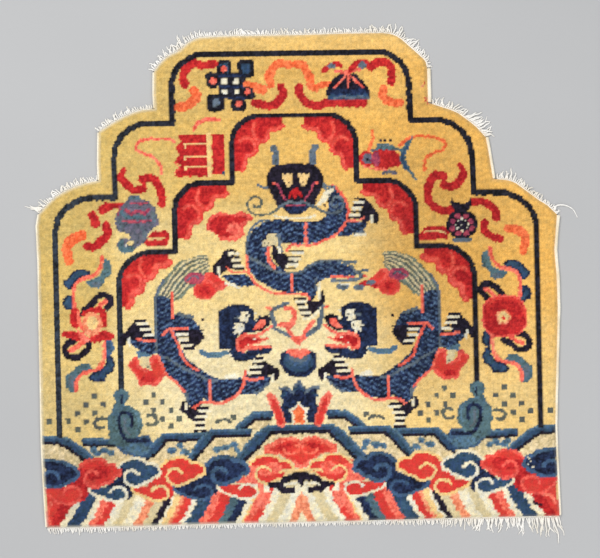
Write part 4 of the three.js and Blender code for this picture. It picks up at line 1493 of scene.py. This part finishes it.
# How far each web stops short of the two ends of its run, where it is not the usual half millimetre
WEB_TRIMS = {
    "fringe_right_low": (0.5, 5.4), "fringe_right_mid": (0.5, 6.4),
    "fringe_left_mid": (3.6, 0.5), "fringe_left_low": (3.6, 0.5),
}
YARN_PITCH = 2.7
YARN_STEPS = 9
YARN_AROUND = 4
YARN_RADIUS = 0.95
# How far from the cloth the yarns start inside the web and how near they may curl back to it, past the gap
YARN_START = 1.3
YARN_ROOT = 1.2
# How much further than the web the yarns stop short of the ends of the run
YARN_INSET = 0.6


def web_points(points, out, at):
    """The plain end web, with a small swell for each warp, of which there are two to a knot."""
    angle = 2 * np.pi * np.arange(WEB_AROUND) / WEB_AROUND + 0.3
    swell = 1 + 0.07 * np.sin(np.pi * at)[:, None]
    across = np.cos(angle)[None, :] * swell
    return trim_rings(points, out, WEB_WIDTH, WEB_HEIGHT, across, np.sin(angle)[None, :] * swell)


def yarn_paths(name, points, out, at, length):
    """Cut warp ends: thin yarns that leave the web, curl as they go and come to rest on the floor.
    Returns their centre points, their sideways directions and their radii."""
    table = np.array(WARP_ENDS[name])
    count = len(points)
    look = [np.interp(at / length, table[:, 0], table[:, k]) for k in (1, 2, 3)]
    # Each yarn's chances: its length, whether it is a long one, its lean, its bend, its waves, where they
    # start and how much it rises, its thickness, and its height at the web
    chance = random.random((count, 8))
    clump = np.sin(at * 0.9 + 2 * np.sin(at * 0.23)) * 0.5
    ragged = 0.6 + 0.8 * chance[:, 0] + 0.35 * (chance[:, 1] > 0.93)
    long = look[0] * ragged
    lean = np.radians(look[1] + 30 * (chance[:, 2] - 0.5) + 14 * clump)
    bend = look[2] * (9 * (chance[:, 3] - 0.5) + 4 * clump + 2 * np.sin(at * 0.1))
    share = np.linspace(0, 1, YARN_STEPS + 1)[None, :]
    wave = 0.5 * np.sin(share * (6 + 7 * chance[:, 4:5]) + 6 * chance[:, 5:6])
    heading = lean[:, None] + bend[:, None] * share**1.2 + wave * share
    base = np.arctan2(out[:, 1], out[:, 0])[:, None]
    forward = np.stack([np.cos(base + heading), np.sin(base + heading)], axis=-1)
    step = ((long + YARN_ROOT) / YARN_STEPS)[:, None, None]
    centre = np.cumsum(forward * step, axis=1) - forward * step
    centre = centre + (points + out * (EDGE_GAP + YARN_START))[:, None, :]
    outward = np.einsum("ijk,ik->ij", centre - points[:, None, :], out)
    centre = centre + out[:, None, :] * np.clip(EDGE_GAP + YARN_ROOT - outward, 0, None)[..., None]
    radius = (YARN_RADIUS + 0.45 * chance[:, 6:7]) * (1 - 0.45 * share**2)
    drop = np.clip(1 - share * 1.7, 0, 1)
    height = radius + 0.05 + (1.2 + 0.5 * chance[:, 7:8]) * drop**1.5
    height = height + 1.2 * chance[:, 5:6]**3 * np.sin(np.pi * share)
    side = np.stack([-forward[..., 1], forward[..., 0]], axis=-1)
    return np.concatenate([centre, height[..., None]], axis=-1), side, radius


# One pulled warp that lies loose from the outer end of the right lower shoulder
LOOSE_WARP = {
    "web": "fringe_right_low", "radius": 1.1, "steps": 24, "around": 6,
    "path": ((362, 434), (368, 437), (376, 437), (384, 434), (390, 429), (395, 419)),
}


def loose_warp():
    """The pulled warp: it rises a little in its middle and thins towards its end."""
    path = smooth(LOOSE_WARP["path"])
    at = np.linspace(0, len(path) - 1, LOOSE_WARP["steps"])
    flat = np.stack([np.interp(at, np.arange(len(path)), path[:, k]) for k in range(2)], axis=1)
    forward = np.gradient(flat, axis=0)
    forward /= np.hypot(*forward.T)[:, None]
    share = np.linspace(0, 1, len(flat))
    radius = LOOSE_WARP["radius"] * (1 - 0.5 * share**2) * (1 + 0.12 * np.sin(share * 40))
    level = radius + LIFT + 0.6 * np.sin(np.pi * share)
    side = np.stack([-forward[:, 1], forward[:, 0]], axis=1)
    return yarn_rings(np.column_stack([flat, level]), side, radius, LOOSE_WARP["around"])


def make_fringe(name):
    """An end web with its cut warp ends, as one piece."""
    run = runs[name]
    trims = WEB_TRIMS.get(name, (END_TRIM, END_TRIM))
    points, out, at = place_along(run, WEB_PITCH, trims)
    web = web_points(points, out, at)
    faces = [*tube_faces(*web.shape[:2])]
    made = [web.reshape(-1, 3)]
    points, out, at = place_along(run, YARN_PITCH, (trims[0] + YARN_INSET, trims[1] + YARN_INSET))
    length = np.hypot(*np.diff(run, axis=0).T).sum()
    centre, side, radius = yarn_paths(name, points, out, at, length)
    yarns = yarn_rings(centre, side, radius, YARN_AROUND)
    shifts = (np.arange(len(yarns)) * (YARN_STEPS + 1) * YARN_AROUND)[:, None, None]
    for part in tube_faces(YARN_STEPS + 1, YARN_AROUND, len(made[0])):
        faces.append((part[None] + shifts).reshape(-1, part.shape[1]))
    made.append(yarns.reshape(-1, 3))
    if name == LOOSE_WARP["web"]:
        loose = loose_warp()
        faces.extend(tube_faces(*loose.shape[:2], sum(len(m) for m in made)))
        made.append(loose.reshape(-1, 3))
    return make_object(name.replace("fringe", "warp_ends"), np.concatenate(made), faces)


# Materials

def new_material(name, roughness, sheen):
    """A material of matt yarn, with its nodes, links and shader."""
    material = bpy.data.materials.new(name)
    material.use_nodes = True
    nodes = material.node_tree.nodes
    shader = nodes["Principled BSDF"]
    shader.inputs["Roughness"].default_value = roughness
    shader.inputs["Sheen Weight"].default_value = sheen
    shader.inputs["Sheen Roughness"].default_value = 0.6
    shader.inputs["Specular IOR Level"].default_value = 0.12
    return material, nodes, material.node_tree.links, shader


def noise(nodes, links, scale, detail, stretch=(1, 1, 1)):
    """Noise in the object's own metres, so many features to a metre."""
    place = nodes.new("ShaderNodeTexCoord")
    mapping = nodes.new("ShaderNodeMapping")
    mapping.inputs["Scale"].default_value = stretch
    texture = nodes.new("ShaderNodeTexNoise")
    texture.inputs["Scale"].default_value = scale
    texture.inputs["Detail"].default_value = detail
    links.new(place.outputs["Object"], mapping.inputs["Vector"])
    links.new(mapping.outputs["Vector"], texture.inputs["Vector"])
    return texture.outputs["Fac"]


def remap(nodes, links, value, to_low, to_high, low=0.3, high=0.7):
    """A value taken from one range to another. Most of a noise lies between 0.3 and 0.7."""
    node = nodes.new("ShaderNodeMapRange")
    node.inputs["From Min"].default_value = low
    node.inputs["From Max"].default_value = high
    node.inputs["To Min"].default_value = to_low
    node.inputs["To Max"].default_value = to_high
    links.new(value, node.inputs["Value"])
    return node.outputs["Result"]


def math_node(nodes, links, operation, a, b):
    """One sum or product of two values, each a number or another node's output."""
    node = nodes.new("ShaderNodeMath")
    node.operation = operation
    for socket, value in zip(node.inputs, (a, b)):
        if isinstance(value, (int, float)):
            socket.default_value = value
        else:
            links.new(value, socket)
    return node.outputs["Value"]


def tinted(nodes, links, colour, strength):
    """A colour made lighter or darker by a value round one."""
    node = nodes.new("ShaderNodeVectorMath")
    node.operation = "SCALE"
    links.new(colour, node.inputs[0])
    links.new(strength, node.inputs["Scale"])
    return node.outputs["Vector"]


def bump(nodes, links, shader, height, distance, strength=1.0):
    """Relief of the surface, without displacing it."""
    node = nodes.new("ShaderNodeBump")
    node.inputs["Distance"].default_value = distance
    node.inputs["Strength"].default_value = strength
    links.new(height, node.inputs["Height"])
    links.new(node.outputs["Normal"], shader.inputs["Normal"])


def dyed_wool(name, fibre_share):
    """Knotted wool: the dyes of the knots, with fibre, wear and dust in them."""
    material, nodes, links, shader = new_material(name, 0.92, 0.06)
    dye = nodes.new("ShaderNodeVertexColor")
    dye.layer_name = "dye"
    fibre = noise(nodes, links, 900, 3)
    clump = noise(nodes, links, 190, 2)
    wear = noise(nodes, links, 14, 3)
    strength = math_node(nodes, links, "MULTIPLY",
                         remap(nodes, links, fibre, 1 - fibre_share, 1 + fibre_share),
                         remap(nodes, links, clump, 0.93, 1.07))
    strength = math_node(nodes, links, "MULTIPLY", strength, remap(nodes, links, wear, 0.94, 1.06))
    links.new(tinted(nodes, links, dye.outputs["Color"], strength), shader.inputs["Base Color"])
    links.new(remap(nodes, links, wear, 0.86, 0.97), shader.inputs["Roughness"])
    bump(nodes, links, shader, math_node(nodes, links, "ADD", fibre, clump), 0.0006, 0.7)
    return material


# Fibres are drawn out along the warps
FIBRE_STRETCH = (1, 0.35, 1)


def cotton(name, colour, soil):
    """Unbleached cotton yarn, greyer where it is soiled."""
    material, nodes, links, shader = new_material(name, 0.9, 0.1)
    fibre = noise(nodes, links, 1100, 3, FIBRE_STRETCH)
    stain = noise(nodes, links, 26, 3)
    mix = nodes.new("ShaderNodeMix")
    mix.data_type = "RGBA"
    mix.inputs["A"].default_value = (*linear(colour), 1)
    mix.inputs["B"].default_value = (*linear(soil), 1)
    links.new(remap(nodes, links, stain, 0, 0.8, low=0.4), mix.inputs["Factor"])
    colour_out = tinted(nodes, links, mix.outputs["Result"], remap(nodes, links, fibre, 0.86, 1.1))
    links.new(colour_out, shader.inputs["Base Color"])
    bump(nodes, links, shader, fibre, 0.0004, 0.8)
    return material


def studio_floor():
    """A plain pale grey floor."""
    material, nodes, links, shader = new_material("studio_floor", 0.75, 0)
    tone = remap(nodes, links, noise(nodes, links, 3, 2), 0.98, 1.02)
    colour = nodes.new("ShaderNodeRGB")
    colour.outputs["Color"].default_value = (*linear((186, 186, 186)), 1)
    links.new(tinted(nodes, links, colour.outputs["Color"], tone), shader.inputs["Base Color"])
    return material


# The rug

knot_heights = random.uniform(-1, 1, (ROWS, COLUMNS))
lean_x = random.uniform(-1, 1, (ROWS, COLUMNS))
lean_y = random.uniform(-1, 1, (ROWS, COLUMNS))
dyes = knot_dyes()
runs = trim_runs()

wool_face = dyed_wool("wool_pile", 0.16)
wool_back = dyed_wool("knotted_back", 0.12)
cotton_sides = cotton("cotton_overcast", (252, 243, 222), (230, 212, 174))
cotton_ends = cotton("cotton_warp_ends", (255, 252, 246), (246, 238, 222))

# The pile's bands, from which row of knots to which
BANDS = {"pile_foot": (0, 49), "pile_middle": (49, 99), "pile_top": (99, ROWS)}
pile = [make_pile(name, rows, dyes) for name, rows in BANDS.items()]
foundation = make_foundation(dyes)
cords = [make_cord(name) for name in TRIMS if name.startswith("cord")]
fringes = [make_fringe(name) for name in TRIMS if name.startswith("fringe")]

for piece in (foundation, *pile):
    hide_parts("rug_body")
for piece in pile:
    piece.data.materials.append(wool_face)
foundation.data.materials.append(wool_back)
for piece, slot, material, node in (
    *((c, "cotton_cord", cotton_sides, c.name.replace("overcast", "cord")) for c in cords),
    *((f, "cotton_fringe", cotton_ends, f.name.replace("warp_ends", "fringe")) for f in fringes),
):
    piece.data.materials.append(material)
    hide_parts(node)

# The floor, the lights and the camera

FLOOR_SIZE = 4.0
bpy.ops.mesh.primitive_plane_add(size=FLOOR_SIZE, location=(0, 0, 0))
floor = bpy.context.object
floor.name = "floor"
floor.data.materials.append(studio_floor())


def add_light(name, place, size, power):
    """A round lamp that shines at the middle of the frame."""
    light = bpy.data.lights.new(name, "AREA")
    light.shape = "DISK"
    light.size = size
    light.energy = power
    obj = bpy.data.objects.new(name, light)
    obj.location = place
    obj.rotation_euler = (-Vector(place)).to_track_quat("-Z", "Y").to_euler()
    bpy.context.scene.collection.objects.link(obj)


add_light("key", (-1.3, 1.5, 2.3), 1.2, 44)
add_light("fill", (1.6, -1.0, 2.2), 1.6, 20)
add_light("front", (0.1, -2.4, 1.5), 1.6, 11)

world = bpy.data.worlds.new("studio")
world.use_nodes = True
background = world.node_tree.nodes["Background"]
background.inputs["Color"].default_value = (0.95, 0.97, 1, 1)
background.inputs["Strength"].default_value = 0.55
bpy.context.scene.world = world
bpy.context.scene.view_settings.view_transform = "Standard"

# The photograph looks straight down. It is turned a little, in degrees, and centred near the rug's middle.
# The camera's rise and the width that it sees are in metres.
PHOTO_TURN = -1.3
PHOTO_MIDDLE = np.array([3.1, 341.5, 0])
PHOTO_WIDTH = 0.840
CAMERA_RISE = 2.0
SENSOR = 36
camera_data = bpy.data.cameras.new("camera")
camera_data.sensor_width = SENSOR
camera_data.lens = SENSOR * CAMERA_RISE / PHOTO_WIDTH
camera = bpy.data.objects.new("camera", camera_data)
camera_place = (PHOTO_MIDDLE + SHIFT) * MM
camera.location = (camera_place[0], camera_place[1], PILE_TOP * MM + CAMERA_RISE)
camera.rotation_euler = (0, 0, math.radians(PHOTO_TURN))
bpy.context.scene.collection.objects.link(camera)
bpy.context.scene.camera = camera
